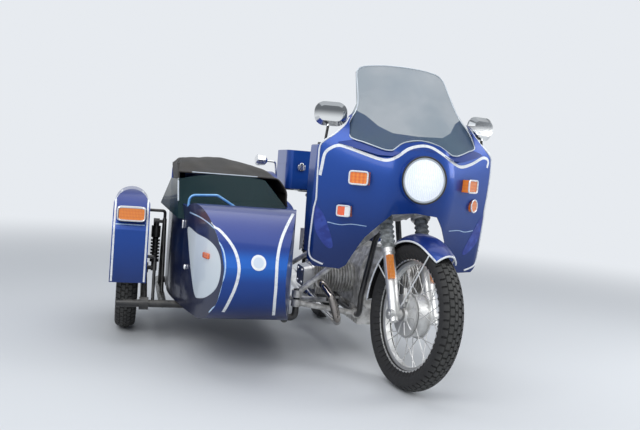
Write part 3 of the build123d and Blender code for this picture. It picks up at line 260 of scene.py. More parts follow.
# Bare metal: sand-cast alloy on the engine and yokes, buffed alloy on the sliders, rims, hubs and
# rocker covers, and bright plating on bars, racks and pipes, which browns next to the heads.
def metal(name, light, dark, smooth, rough, patches, grain, depth, full=1.0):
    """Colour and roughness wander between two values in patches, over a fine grain."""
    paint = Paint(name, light, rough, full)
    worn = paint.noise(patches, 4.0).fade(0.34, 0.68)
    paint.bare = paint.mix(worn, dark, light)
    paint.set(Base_Color=paint.bare, Roughness=worn * (smooth - rough) + rough,
              Normal=paint.bump(paint.noise(grain, 2.0), depth))
    return paint


bright = ((0.82, 0.83, 0.84), (0.66, 0.67, 0.68), 0.06, 0.16, 14.0, 300.0, 0.00005)
cast_metal = metal("cast_metal", (0.80, 0.79, 0.77), (0.46, 0.45, 0.43), 0.48, 0.66, 30.0, 420.0, 0.0009, 0.7)
buffed_metal = metal("buffed_metal", (0.74, 0.74, 0.73), (0.56, 0.56, 0.55), 0.32, 0.48, 18.0, 900.0, 0.0001,
                     0.75)
plating = metal("plating", *bright)
cover(cast_metal, "crankcase", "cylinders", "cylinder_heads", "carburettors", "fork_yokes", "sidecar_struts")
cover(buffed_metal, "rocker_covers", "fork_sliders", "front_brake_plate", "front_rim", "rear_rim",
      "sidecar_rim", "front_hub", "rear_hub", "sidecar_hub")
cover(plating, "luggage_rack", "fork_tubes")

pipe_paint = metal("pipe_plating", (0.80, 0.80, 0.80), (0.62, 0.61, 0.60), 0.07, 0.2, 12.0, 300.0, 0.00005)
heat = pipe_paint.place()[0][1].fade(-0.05, -0.36)
straw = pipe_paint.mix(heat.fade(0.1, 0.6) * 0.5, pipe_paint.bare, (0.50, 0.40, 0.28))
pipe_paint.set(Base_Color=pipe_paint.mix(heat.fade(0.6, 1.0) * 0.6, straw, (0.22, 0.20, 0.20)))
cover(pipe_paint, "exhaust")

# Handlebar: one bent plated tube with ribbed black rubber grips pushed over its ends.
bar_low, bar_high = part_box("handlebar")
grip_long = 0.121
bar_paint = metal("bar_plating", *bright)
bar_x = bar_paint.place()[0][0]
grip = (bar_x < bar_low[0] + grip_long).either(bar_x > bar_high[0] - grip_long)
ribs = (bar_x * 1250.0).wave() * grip
bar_paint.set(Base_Color=bar_paint.mix(grip, bar_paint.bare, (0.018, 0.018, 0.019)), Metallic=1.0 - grip,
              Roughness=grip * 0.6 + 0.12, Normal=bar_paint.bump(ribs, 0.0012))
cover(bar_paint, "handlebar")

# Fender stays: flat steel strips painted white, bolted from the front fender to the sliders.
stay_paint = Paint("stay_white", (0.72, 0.74, 0.75), 0.4, 0.0, Coat_Weight=0.4)
chips = stay_paint.patchy(120.0, 0.66, 0.74, (0.72, 0.74, 0.75), (0.25, 0.24, 0.22), 4.0)
stay_paint.set(Roughness=chips * 0.4 + 0.35, Normal=stay_paint.bump(1.0 - chips, 0.0002))
cover(stay_paint, "fender_stays")

# Fork gaiters: ribbed rubber sleeves between yokes and sliders, gone grey under patches of dry dust.
sleeve_paint = Paint("sleeve_rubber", (0.16, 0.17, 0.17), 0.8)
sleeve_dust = sleeve_paint.patchy(45.0, 0.3, 0.7, (0.10, 0.11, 0.11), (0.36, 0.38, 0.38), 5.0)
sleeve_paint.set(Roughness=sleeve_dust * 0.2 + 0.65,
                 Normal=sleeve_paint.bump(sleeve_paint.noise(600.0), 0.0005))
cover(sleeve_paint, "fork_gaiters")

# Painted sheet: deep metallic blue under clear lacquer, with fine flake, on the fairing, tank, panels,
# fenders, trunk and sidecar body. Painted shade makes it navy low down and bright higher up, and a painted
# reflection of the sky turns faces that look up violet.
shaded_blue = (0.0025, 0.017, 0.105)
lit_blue = (0.004, 0.055, 0.31)
sky_reflection_violet = (0.008, 0.014, 0.13)
navy = (0.003, 0.006, 0.030)
lining = (0.012, 0.012, 0.013)
trim_white = (0.80, 0.83, 0.86)


def blue_paint(name, low, high):
    """Flaked blue in painted shade, navy at the height low to bright at the height high; faces that look up get
    a painted violet reflection of the sky.
    """
    paint = Paint(name, shaded_blue, 0.36, 0.4, Coat_Weight=0.5, Coat_Roughness=0.10, Specular_IOR_Level=0.3)
    paint.at, _ = paint.place()
    paint.way = paint.facing()
    flake = paint.noise(1100.0, 1.0)
    drift = paint.noise(3.5, 2.0)
    # painted shade: navy low down, bright higher up, with a slow random drift
    rise = (paint.at[2] + drift * 0.08).fade(low, high)
    ground = paint.mix(rise, shaded_blue, lit_blue)
    # painted reflection of the sky: faces that look up go violet
    up = paint.way[2].fade(0.15, 0.85)
    with_sky_reflection = paint.mix(up * 0.75, ground, sky_reflection_violet)
    paint.blue = paint.mix(flake.fade(0.45, 0.75) * 0.25, with_sky_reflection, (0.02, 0.10, 0.45))
    paint.set(Base_Color=paint.blue, Normal=paint.bump(flake, 0.00004), Metallic=0.4 - up * 0.25,
              Coat_Weight=0.5 - up * 0.3)
    return paint


def line_inside(paint, inside):
    """Dull black lining where the mask is 1."""
    paint.set(Base_Color=paint.mix(inside, paint.blue, lining), Metallic=(1.0 - inside) * 0.35,
              Roughness=inside * 0.5 + 0.34, Coat_Weight=(1.0 - inside) * 0.4)
    return paint


for node, low, high in (("fuel_tank", 0.6, 1.0), ("side_panels", 0.45, 0.9), ("trunk_box", 0.7, 0.95),
                        ("trunk_lid", 0.8, 1.02)):
    cover(blue_paint(node + "_blue", low, high), node)

# Fairing: a shell of one moulding, black inside; its lower legs are in the wheel's shade.
fairing_paint = blue_paint("fairing_blue", 0.50, 1.02)
behind = (fairing_paint.way[1] > 0.25).both(fairing_paint.at[1] > -0.70)
cover(line_inside(fairing_paint, behind), "fairing")

# Fenders: pressed steel, painted outside and dull black inside.
fender_paints = {}
for node, joint, low, high in (("front_fender", "front_wheel_spin", 0.3, 0.7),
                               ("rear_fender", "rear_wheel_spin", 0.3, 0.7),
                               ("sidecar_fender", "sidecar_wheel_spin", 0.26, 0.62)):
    fender_paint = blue_paint(node + "_blue", low, high)
    _, hub_y, hub_z = joints[joint]["pos_m"]
    _, way_y, way_z = fender_paint.way
    outward = (fender_paint.at[1] - hub_y) * way_y + (fender_paint.at[2] - hub_z) * way_z
    fender_paints[node] = line_inside(fender_paint, outward < -0.03)
    cover(fender_paints[node], node)

# Sidecar body: a welded steel shell, blue on the nose and inner side and black inside the cockpit. Painted
# shade makes the outer side, where the white panel is let in, nearly black and the nose darker low down,
# and a painted highlight lies in a band across the nose.
body_mid = -0.2785
body_paint = blue_paint("sidecar_blue", 0.20, 0.56)
inside = ((body_paint.at[0] - body_mid) * body_paint.way[0] < -0.05)
floor_in = (body_paint.way[2] > 0.5).both(body_paint.at[2] < 0.30)
# painted shade: the outer side goes nearly black
outer_side_shade = body_paint.way[0].fade(-0.50, -0.80)
# painted highlight: a brighter band across the nose
nose_highlight_band = body_paint.at[2].fade(0.42, 0.50).both(body_paint.at[2].fade(0.575, 0.515))
# painted shade: the nose darker low down
low_nose_shade = body_paint.at[2].fade(0.34, 0.25)
body_paint.blue = body_paint.mix(nose_highlight_band * 0.8, body_paint.blue, (0.010, 0.13, 0.55))
body_paint.blue = body_paint.mix(low_nose_shade * 0.7, body_paint.blue, (0.003, 0.012, 0.085))
body_paint.blue = body_paint.mix(outer_side_shade * 0.9, body_paint.blue, navy)
cover(line_inside(body_paint, inside.either(floor_in)), "sidecar_body")

# Deck rail: a thin bent rod, painted light blue, along the front corner of the cockpit.
rail_paint = Paint("rail_blue", (0.16, 0.42, 0.78), 0.3, 0.2, Coat_Weight=0.8)
rail_paint.patchy(40.0, 0.4, 0.7, (0.12, 0.36, 0.72), (0.22, 0.50, 0.85))
cover(rail_paint, "deck_rail")

# Striping: white vinyl tape laid by hand along the fairing's edge, the nose of the sidecar body and
# the fenders, and pale lines that are painted highlights along creases. Each band is a thin closed form
# that lies on the painted sheet.
def skin(name, points, paint, body="motorcycle", close_rows=False, sharp=35.0):
    """One piece from a grid of points (rows, columns, 3), each row a closed ring: neighbours become
    quads, points that meet are joined, and the faces are turned outwards."""
    rows, columns = points.shape[:2]
    row = np.arange(rows if close_rows else rows - 1)[:, None]
    column = np.arange(columns)[None, :]
    next_row, next_column = (row + 1) % rows, (column + 1) % columns
    quads = np.stack([row * columns + column, row * columns + next_column,
                      next_row * columns + next_column, next_row * columns + column], axis=-1)
    return solid(name, points.reshape(-1, 3), quads.reshape(-1, 4), paint, body, sharp)


def solid(name, points, faces, paint, body="motorcycle", sharp=35.0):
    """One piece from points (n, 3) and faces (m, corners), with edges sharp past an angle."""
    mesh = bpy.data.meshes.new(name)
    faces = np.asarray(faces)
    mesh.vertices.add(len(points))
    mesh.vertices.foreach_set("co", np.asarray(points, float).ravel())
    mesh.loops.add(faces.size)
    mesh.loops.foreach_set("vertex_index", faces.ravel())
    mesh.polygons.add(len(faces))
    mesh.polygons.foreach_set("loop_start", np.arange(0, faces.size, faces.shape[1]))
    mesh.update(calc_edges=True)
    form = bmesh.new()
    form.from_mesh(mesh)
    bmesh.ops.remove_doubles(form, verts=form.verts, dist=0.00002)
    bmesh.ops.dissolve_degenerate(form, edges=form.edges, dist=0.000001)
    bmesh.ops.recalc_face_normals(form, faces=form.faces)
    form.to_mesh(mesh)
    form.free()
    mesh.polygons.foreach_set("use_smooth", np.ones(len(mesh.polygons), bool))
    mesh.set_sharp_from_angle(angle=radians(sharp))
    mesh.materials.append(paint.material)
    piece = stand(name, mesh)
    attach(piece, body)
    return piece


def through(points, step, closed=False):
    """An even line through hand-set points: between two of them each coordinate is a cubic, whose slope
    at a point is half the way from the point before to the point after."""
    points = np.asarray(points, float)
    if closed:
        row = np.vstack([points[-1:], points, points[:2]])
    else:
        row = np.vstack([2 * points[0] - points[1], points, 2 * points[-1] - points[-2]])
    before, start, end, after = row[:-3], row[1:-2], row[2:-1], row[3:]
    t = np.arange(0.0, 1.0, 1 / 24)[:, None, None]
    line = start + 0.5 * (end - before) * t + (before - 2.5 * start + 2 * end - 0.5 * after) * t ** 2
    line = line + (1.5 * start - 1.5 * end + 0.5 * after - 0.5 * before) * t ** 3
    line = np.vstack([line.transpose(1, 0, 2).reshape(-1, 3), points[:1] if closed else points[-1:]])
    reach = np.concatenate([[0.0], np.cumsum(np.linalg.norm(np.diff(line, axis=0), axis=1))])
    count = max(int(round(reach[-1] / step)), 8)
    even = np.linspace(0.0, reach[-1], count + 1)[:count if closed else None]
    return np.stack([np.interp(even, reach, line[:, i]) for i in range(3)], axis=1)


def laid(points, node, lift, straight=False):
    """The same points laid on a carried piece: each goes to the nearest place on its surface, or
    straight back along Y, and then out by lift."""
    mesh = bpy.data.meshes.new("laid")
    mesh.from_pydata(points.reshape(-1, 3).tolist(), [], [])
    draft = stand("laid", mesh)
    wrap = draft.modifiers.new("wrap", "SHRINKWRAP")
    wrap.target = nodes[node]
    wrap.wrap_method = "PROJECT" if straight else "NEAREST_SURFACEPOINT"
    wrap.use_project_y = straight
    wrap.wrap_mode = "ABOVE_SURFACE"
    wrap.offset = lift
    found = np.empty(points.size, np.float32)
    draft.evaluated_get(bpy.context.evaluated_depsgraph_get()).data.vertices.foreach_get("co", found)
    bpy.data.objects.remove(draft)
    return found.reshape(points.shape).astype(float)


def turns(count):
    """Equal steps round a circle."""
    return np.linspace(0.0, 2 * pi, count, endpoint=False)


def unit(vectors):
    return vectors / np.maximum(np.linalg.norm(vectors, axis=-1, keepdims=True), 1e-9)


def shell(top, low):
    """A closed form between two grids: across the top and back along the underside, with both ends
    drawn together on the middle between them."""
    middle = 0.5 * (top + low)
    both = np.concatenate([top, low[:, ::-1]], axis=1)
    ends = np.concatenate([middle, middle[:, ::-1]], axis=1)
    return np.concatenate([ends[:1], both, ends[-1:]], axis=0)


def smoothed(line, count):
    """Each point is the mean of count points about it, with the ends repeated."""
    half = count // 2
    padded = np.concatenate([line[:1]] * half + [line] + [line[-1:]] * half)
    return np.stack([np.convolve(padded[:, i], np.ones(count) / count, "valid") for i in range(3)], axis=1)


def bed(grid, node, lift, straight=False):
    """The top of a thin form on a carried piece, out by lift, and its underside, sunk by 0.5 mm."""
    return laid(grid, node, lift, straight), laid(grid, node, -0.0005, straight)


def tape(name, points, wide, paint, node, core=None, step=0.006):
    """A band on a carried piece: its line is first moved away from the core of the piece, so that it
    meets the outer surface, or comes from straight ahead where there is no core. The band's columns
    stand beside it, across it in the surface."""
    straight = core is None
    line = through(points, step)
    start = line - (0.0, 0.2, 0.0) if straight else line + 0.02 * unit(line - core)
    base = laid(start, node, 0.0, straight)
    out = unit(smoothed(unit(laid(base, node, 0.01) - base), 9))
    across = unit(np.cross(unit(np.gradient(base, axis=0)), out))
    beside = wide * np.array([-0.5, -0.44, -0.15, 0.15, 0.44, 0.5])
    grid = base[:, None, :] + beside[None, :, None] * across[:, None, :]
    grid = grid - (0.0, 0.2, 0.0) if straight else grid + 0.006 * out[:, None, :]
    return skin(name, shell(*bed(grid, node, 0.0007, straight)), paint, sharp=60)


def patch(name, points, paint, node, core, lift):
    """A flat panel on a carried piece: rings of its outline drawn in towards its middle, moved away
    from the core of the piece and laid on it."""
    rim = through(points, 0.008, closed=True)
    share = np.concatenate([[1.0, 0.985], np.linspace(0.95, 0.0, 16)])
    middle = rim.mean(axis=0)
    rings = middle + share[:, None, None] * (rim - middle)
    top, low = bed(rings + 0.02 * unit(rings - core), node, lift)
    return skin(name, np.concatenate([top[::-1], low]), paint, sharp=50)


white_tape = Paint("white_tape", trim_white, 0.35, 0.0, Coat_Weight=0.6)
white_tape.set(Roughness=white_tape.patchy(60.0, 0.5, 0.8, trim_white, (0.50, 0.55, 0.62), 4.0) * 0.2 + 0.3)
# pale blue lines, each a painted highlight along a crease or ledge of the blue sheet
pale_highlight_tape = Paint("pale_highlight_tape", (0.42, 0.60, 0.82), 0.35, 0.0, Coat_Weight=0.6)
pale_highlight_tape.patchy(30.0, 0.4, 0.7, (0.34, 0.52, 0.78), (0.52, 0.70, 0.88))
bike_mid = 0.4115


def mirrored(points):
    """The same points on the other side of the motorcycle's middle plane."""
    return np.asarray(points) * (-1, 1, 1) + (2 * bike_mid, 0, 0)


def mm(*rows):
    return np.array(rows, float) / 1000.0


nose_core = np.array([body_mid, -0.25, 0.45])
# columns: name, width, finish, points along it
for name, wide, paint, points in (
        ("nose_stripe_outer", 0.013, white_tape, mm(
            (-461, -536, 668), (-440, -560, 653), (-418, -577, 636), (-382, -616, 596), (-359, -645, 555),
            (-347, -670, 506), (-347, -677, 454), (-356, -667, 399), (-371, -640, 340), (-386, -587, 281))),
        ("nose_stripe_inner", 0.013, white_tape, mm(
            (-90, -425, 716), (-98, -450, 710), (-132, -526, 674), (-162, -587, 627), (-181, -630, 577),
            (-191, -664, 520), (-192, -678, 468), (-189, -669, 405), (-185, -643, 346), (-177, -599, 292),
            (-172, -570, 268))),
        ("nose_edge_line", 0.008, white_tape, mm(
            (-62, -421, 500), (-63, -423, 463), (-78, -478, 407), (-84, -499, 337), (-92, -525, 305),
            (-98, -545, 280))),
        # a painted highlight along the crease of the nose, as a pale line
        ("nose_crease_highlight", 0.006, pale_highlight_tape, mm(
            (-531, -253, 667), (-496, -416, 659), (-460, -541, 637), (-430, -607, 601), (-410, -637, 560),
            (-402, -660, 518), (-402, -674, 468), (-411, -664, 405), (-427, -633, 346), (-453, -562, 287)))):
    tape(name, points, wide, paint, "sidecar_body", nose_core)

# White panel: enamelled sheet, D-shaped, let into the outer side of the sidecar body; greyer at its foot.
panel_rim = mm((-534, -235, 609), (-504, -382, 596), (-475, -492, 589), (-451, -568, 574), (-434, -617, 550),
               (-424, -645, 515), (-421, -654, 472), (-425, -643, 422), (-437, -610, 380), (-461, -536, 338),
               (-483, -464, 318), (-497, -410, 318), (-510, -357, 378), (-521, -305, 460), (-529, -261, 538))
panel_paint = Paint("panel_white", (0.70, 0.76, 0.80), 0.3, 0.0, Coat_Weight=0.7)
panel_low = panel_paint.place()[0][2].fade(0.60, 0.32)
panel_paint.set(Base_Color=panel_paint.mix(panel_low * 0.6 + panel_paint.noise(8.0) * 0.25, (0.74, 0.80, 0.84),
                                           (0.50, 0.58, 0.66)))
far_inside = np.array([9.1, 2.3, 0.5])
patch("side_panel_white", panel_rim, panel_paint, "sidecar_body", far_inside, 0.0012)

# Fairing striping: one white band in a W over the front, lying on the moulding.
crown_band = mm((0, -555, 903), (4, -562, 948), (11, -568, 1000), (33, -579, 1026), (64, -596, 1040),
                (101, -623, 1033), (167, -654, 1011), (221, -690, 994), (255, -712, 991), (290, -723, 1008),
                (346, -714, 1047), (409, -706, 1065), (456, -708, 1061), (501, -718, 1038), (553, -717, 1007),
                (613, -686, 989), (691, -637, 1008), (770, -588, 1042), (807, -569, 1031), (803, -573, 998))
tape("fairing_band", crown_band, 0.0135, white_tape, "fairing")

# Fender striping: white along both edges of the sidecar fender, and a painted highlight, a pale line, along the
# ledge below its lamp.
fender_core = np.array([0.0, 0.327, 0.324])
fender_face = -0.035
outer_x, inner_x = -0.872, -0.716
for side, x in (("outer", outer_x), ("inner", inner_x)):
    fender_line = [(x, fender_face, 0.306), (x, fender_face, 0.38), (x, fender_face, 0.47),
                   (x, fender_face, 0.56), (x, -0.02, 0.60), (x, 0.03, 0.672), (x, 0.12, 0.735),
                   (x, 0.30, 0.752), (x, 0.50, 0.71)]
    tape("sidecar_fender_line_" + side, fender_line, 0.009, white_tape, "sidecar_fender",
         fender_core + (x, 0.0, 0.0), 0.008)
# painted highlight along the ledge below the lamp
fender_ledge = [(x, fender_face, 0.585) for x in np.linspace(-0.860, -0.728, 6)]
tape("sidecar_fender_ledge", fender_ledge, 0.006, pale_highlight_tape, "sidecar_fender",
     fender_core + (inner_x, 0.0, 0.0))

# Fairing edge: a white bead along each side, and on each leg a painted highlight along a crease, as a pale
# line, and a painted highlight on a facet, as a patch of brighter blue.
def pipe(name, line, radius, up, paint, body="motorcycle", closed=False, sides=10):
    """A bead along a line: a circle across it at every point, drawn to its centre at open ends."""
    if closed:
        along = unit(np.roll(line, -1, axis=0) - np.roll(line, 1, axis=0))
    else:
        along = unit(np.gradient(line, axis=0))
    first = unit(np.cross(along, np.asarray(up, float)))
    second = np.cross(first, along)
    turn = turns(sides)[None, :, None]
    ring = line[:, None, :] + radius * (np.cos(turn) * first[:, None, :] + np.sin(turn) * second[:, None, :])
    if not closed:
        ends = [np.broadcast_to(line[i], ring[:1].shape) for i in (0, -1)]
        ring = np.concatenate([ends[0], ring, ends[1]])
    return skin(name, ring, paint, body, close_rows=closed)


edge_points = mm((126, -524, 1178), (91, -544, 1129), (9, -560, 1059), (-12, -542, 1036), (-13, -544, 991),
                 (-1, -540, 791), (-8, -531, 772), (-13, -512, 684), (-12, -493, 559), (3, -501, 524),
                 (79, -512, 492))
leg_line = mm((52, -552, 697), (105, -575, 690), (151, -603, 697), (212, -631, 694))
leg_facet = mm((-11, -530, 765), (34, -549, 731), (76, -550, 647), (95, -548, 585), (75, -540, 579),
               (38, -533, 617), (5, -529, 674))
leg_core = np.array([[0.30, -0.30, 0.66]])
# painted highlight on the facet of each leg, in patches of brighter blue
leg_highlight_paint = blue_paint("leg_facet_highlight_blue", 0.3, 0.8)
leg_highlight_paint.patchy(30.0, 0.4, 0.7, (0.014, 0.035, 0.25), (0.03, 0.07, 0.38))
sides = (("right", np.asarray, -1.0), ("left", mirrored, 1.0))
for side, placed, way in sides:
    outside = through(placed(edge_points), 0.007) + 0.03 * np.array([way * 0.7, -0.7, 0.0])
    edge = smoothed(laid(outside, "fairing", 0.001), 7)
    pipe("fairing_edge_" + side, edge, 0.0042, (0, 1, 0.3), white_tape)
for side, placed, _ in sides:
    # painted highlights on each leg's crease and facet
    tape("leg_crease_highlight_" + side, placed(leg_line), 0.0035, pale_highlight_tape, "fairing")
    patch("leg_facet_" + side, placed(leg_facet), leg_highlight_paint, "fairing", placed(leg_core)[0],
          0.0008)

# Lamps: amber and red lenses moulded with upright flutes, each in a pale rim that is clipped to the
# body. The right marker is red and white side by side, and the left one is round.
def lens(name, color, deep, scale=900.0):
    """Coloured plastic, darker in its flutes, which repeat along X and Y together."""
    paint = Paint(name, color, 0.12, 0.0, Coat_Weight=1.0, Coat_Roughness=0.03)
    paint.at, _ = paint.place()
    flute = ((paint.at[0] + paint.at[1] * 0.7) * scale).wave()
    cell = (paint.at[2] * 420.0).wave()
    paint.glow = paint.mix(flute * 0.25 + cell * 0.12 + 0.45, deep, color)
    paint.set(Base_Color=paint.glow, Normal=paint.bump(flute + cell * 0.4, 0.0005))
    return paint


def eased(value, power):
    """A cosine or sine raised to 2 / power with its sign kept, which squares a circle."""
    return np.sign(value) * np.abs(value) ** (2 / power)


def rim(name, centre, normal, wide, high, radius, paint, slot, power=7.0, sides=10):
    """A bead round a lamp's face, a rounded rectangle that is level at its foot."""
    way = unit(np.asarray(normal, float))
    level_way = unit(np.cross((0, 0, 1), way))
    turn = turns(72)[:, None]
    line = (np.asarray(centre, float) + 0.5 * wide * eased(np.cos(turn), power) * level_way
            + 0.5 * high * eased(np.sin(turn), power) * np.cross(way, level_way))
    return pipe(name, line, radius, normal, paint, closed=True, sides=sides)


rim_paint = Paint("lamp_rim", (0.78, 0.80, 0.82), 0.25, 0.3, Coat_Weight=0.5)
rim_paint.set(Roughness=rim_paint.noise(80.0) * 0.25 + 0.12)
amber = lens("amber_plastic", (1.0, 0.30, 0.02), (0.75, 0.12, 0.01))
right_marker = (amber.at[0] < 0.128).both(amber.at[2] < 0.80)
along_face = (amber.at[0] - 0.1003) * 0.799 - (amber.at[1] + 0.6226) * 0.602
marker_red = amber.mix(right_marker, amber.glow, (0.9, 0.12, 0.03))
amber.set(Base_Color=amber.mix(right_marker * (along_face > 0.006), marker_red, (0.85, 0.86, 0.86)))
cover(amber, "fairing_signals")
face_right, face_left, ahead_way = (-0.602, -0.799, 0.0), (0.602, -0.799, 0.0), (0, -1, 0)
rim("signal_rim_right", (0.1379, -0.6827, 0.905), face_right, 0.084, 0.056, 0.004, rim_paint, "white_paint")
rim("signal_rim_left", (0.6851, -0.6827, 0.905), face_left, 0.084, 0.056, 0.004, rim_paint, "white_paint")
rim("marker_rim_right", (0.0997, -0.6234, 0.755), face_right, 0.060, 0.046, 0.0035, rim_paint, "white_paint")
rim("marker_rim_left", (0.7339, -0.6142, 0.815), (0.594, -0.804, 0), 0.058, 0.058, 0.0035, rim_paint, "chrome",
    2.0)
cover(lens("reflector_amber", (1.0, 0.36, 0.03), (0.8, 0.2, 0.02), 1400.0), "fork_reflectors")
sidecar_lens = lens("sidecar_lens", (1.0, 0.33, 0.03), (0.8, 0.16, 0.01))
tail_end = sidecar_lens.at[1] > 0.30
sidecar_lens.set(Base_Color=sidecar_lens.mix(tail_end, sidecar_lens.glow, (0.62, 0.015, 0.012)))
cover(sidecar_lens, "sidecar_lamps")
rim("sidecar_lamp_rim", (-0.7935, -0.0595, 0.640), ahead_way, 0.128, 0.064, 0.0045, plating, "chrome")
rim("sidecar_lamp_back", (-0.7935, -0.036, 0.640), ahead_way, 0.130, 0.066, 0.0045, rim_paint, "chrome")

# Small fittings: an amber marker on the white panel, a plated latch and knob behind it, and two plated
# draw latches on the trunk, each pressed or turned and screwed on.
def lozenge(name, centre, normal, size, paint, power=5.0):
    """A closed form with rounded edges: width, height and depth times eased cosines and sines."""
    way = unit(np.asarray(normal, float))
    level_way = unit(np.cross((0, 0, 1), way))
    lift = np.linspace(-pi / 2, pi / 2, 17)[:, None, None]
    turn = turns(40)[None, :, None]
    u = 0.5 * size[0] * eased(np.cos(lift), power) * eased(np.cos(turn), power)
    v = 0.5 * size[1] * eased(np.cos(lift), power) * eased(np.sin(turn), power)
    w = 0.5 * size[2] * eased(np.sin(lift), power)
    points = np.asarray(centre, float) + u * level_way + v * np.cross(way, level_way) + w * way
    return skin(name, points, paint)


marker_lens = lens("marker_lens", (0.95, 0.20, 0.03), (0.6, 0.08, 0.01), 1300.0)
lozenge("panel_marker", (-0.4715, -0.5160, 0.516), (-0.96, -0.29, 0), (0.066, 0.026, 0.014), marker_lens)
lozenge("cockpit_latch", (-0.5520, -0.1410, 0.614), (-0.98, -0.21, 0), (0.020, 0.044, 0.012), plating,
        power=3.0)
lozenge("cockpit_knob", (-0.5370, -0.2380, 0.421), (-0.99, -0.17, 0), (0.026, 0.026, 0.018), plating,
        power=2.4)
for side, _, way in sides:
    x = bike_mid + way * 0.2
    lozenge("trunk_latch_plate_" + side, (x, 0.6935, 0.930), ahead_way, (0.046, 0.034, 0.006), plating,
            power=6.0)
    lozenge("trunk_latch_lever_" + side, (x, 0.6895, 0.934), ahead_way, (0.026, 0.050, 0.006), plating,
            power=4.0)

# Cap nuts: plated domed nuts that hold the rocker covers down, four on each.
def nuts(name, places, way, across, high, paint):
    """Many domed hexagons in one piece: for each place a form of six sides whose radius follows a
    quarter circle over its upper half."""
    way = unit(np.asarray(way, float))
    side = unit(np.cross(way, (0.0, 0.3, 1.0)))
    other = np.cross(way, side)
    turn = np.radians(np.arange(6) * 60.0)[None, :]
    share = np.array([0.0, 1.0, 1.0, 0.85, 0.55, 0.0])[:, None]
    level = np.array([-0.3, -0.3, 0.45, 0.75, 0.95, 1.0])[:, None]
    form = 0.5 * across * share[..., None] * (np.cos(turn)[..., None] * side + np.sin(turn)[..., None] * other)
    form = form + high * level[..., None] * way
    points = (np.asarray(places, float)[:, None, None, :] + form).reshape(-1, 3)
    row, column = np.arange(5)[:, None], np.arange(6)[None, :]
    quads = np.stack([row * 6 + column, row * 6 + (column + 1) % 6, (row + 1) * 6 + (column + 1) % 6,
                      (row + 1) * 6 + column], axis=-1).reshape(-1, 4)
    count = len(places)
    faces = (quads[None] + 36 * np.arange(count)[:, None, None]).reshape(-1, 4)
    return solid(name, points, faces, paint, sharp=25)


cover_low, cover_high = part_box("rocker_covers")
middle_y, middle_z = 0.5 * (cover_low[1] + cover_high[1]), 0.5 * (cover_low[2] + cover_high[2])
half_over_covers = 0.372
for side, _, way in sides:
    x = bike_mid + way * half_over_covers
    spots = [(x, middle_y + y, middle_z + z) for y in (-0.040, 0.040) for z in (-0.030, 0.030)]
    nuts("rocker_nuts_" + side, spots, (way, 0.0, 0.0), 0.013, 0.007, plating)

# Tail lamps: one red box on the rear fender, a signal on each side on a plated stalk, and below the
# box a blank pressed plate with a raised edge.
tail = lens("tail_red", (0.62, 0.012, 0.010), (0.30, 0.004, 0.004))
signals = (tail.at[0] - bike_mid).size() > 0.20
signal_face = signals.both(tail.at[1] > 0.862)
plate = (tail.at[1] > 1.0425).both(tail.at[2] < 0.527)
stalks = signals * (1.0 - signal_face)
tail_color = tail.mix(signal_face, tail.mix(stalks, tail.glow, (0.8, 0.81, 0.82)), (1.0, 0.30, 0.02))
tail.set(Base_Color=tail.mix(plate, tail_color, (0.74, 0.75, 0.74)), Metallic=stalks,
         Roughness=plate * 0.3 + 0.12)
cover(tail, "rear_lamps")
rim("plate_edge", (bike_mid, 1.0462, 0.450), (0, 1, 0), 0.172, 0.142, 0.002, rim_paint, "white_paint", 12.0)

# Headlamp: a bowed glass moulded with upright flutes and a clear rim, held by a thin black rubber ring
# in a blue collar that stands out of the fairing. The rim carries a faint painted glow as a highlight.
lamp_z = 0.916
glass = Paint("lamp_glass", (0.86, 0.90, 0.95), 0.10, 0.0, Coat_Weight=1.0, Coat_Roughness=0.02)
glass_at, _ = glass.place()
across_lamp, up_lamp = glass_at[0] - bike_mid, glass_at[2] - lamp_z
reach = (across_lamp * across_lamp + up_lamp * up_lamp).root()
lamp_flutes = (across_lamp * 700.0).wave() * reach.fade(0.088, 0.084)
lamp_bars = (up_lamp * 240.0).wave() * (reach < 0.05)
edge_ring = reach.fade(0.088, 0.093)
# painted highlight: the clear rim glows faintly
glass.set(Base_Color=glass.mix(edge_ring, glass.mix(lamp_flutes * 0.18 + reach.fade(0.0, 0.1) * 0.35 + 0.1,
                                                    (0.93, 0.96, 1.0), (0.60, 0.68, 0.78)), (0.42, 0.46, 0.50)),
          Metallic=edge_ring, Normal=glass.bump(lamp_flutes + lamp_bars * 0.4, 0.0007),
          Emission_Color=glass.mix(edge_ring, (0.20, 0.22, 0.25), (0.0, 0.0, 0.0)), Emission_Strength=1.0)
cover(glass, "headlamp")
rubber_edge = Paint("edge_rubber", (0.010, 0.010, 0.011), 0.55)
rubber_edge.set(Roughness=rubber_edge.noise(90.0) * 0.3 + 0.4)
rim("headlamp_ring", (bike_mid, -0.7615, lamp_z), ahead_way, 0.203, 0.203, 0.0035, rubber_edge, "black_rubber",
    2.0, 12)

# Mirrors: round-cornered plated backs with glass set in the rear, on bent black rods.
mirror_paint = metal("mirror_back", (0.70, 0.71, 0.72), (0.40, 0.41, 0.43), 0.14, 0.3, 9.0, 400.0, 0.0001)
mirror_at, _ = mirror_paint.place()
glass_face = (mirror_paint.facing()[1] > 0.9).both(mirror_at[2] > 1.127)
rod_part = mirror_at[2] < 1.126
dome = mirror_paint.mix(mirror_at[2].fade(1.16, 1.20), (0.85, 0.86, 0.86), (0.16, 0.17, 0.18))
mirror_paint.set(Base_Color=mirror_paint.mix(rod_part, mirror_paint.mix(glass_face, dome, (0.9, 0.92, 0.93)),
                                             (0.012, 0.012, 0.013)),
                 Metallic=1.0 - rod_part, Roughness=rod_part * 0.3 + (1.0 - glass_face) * 0.12 + 0.02)
cover(mirror_paint, "mirrors")

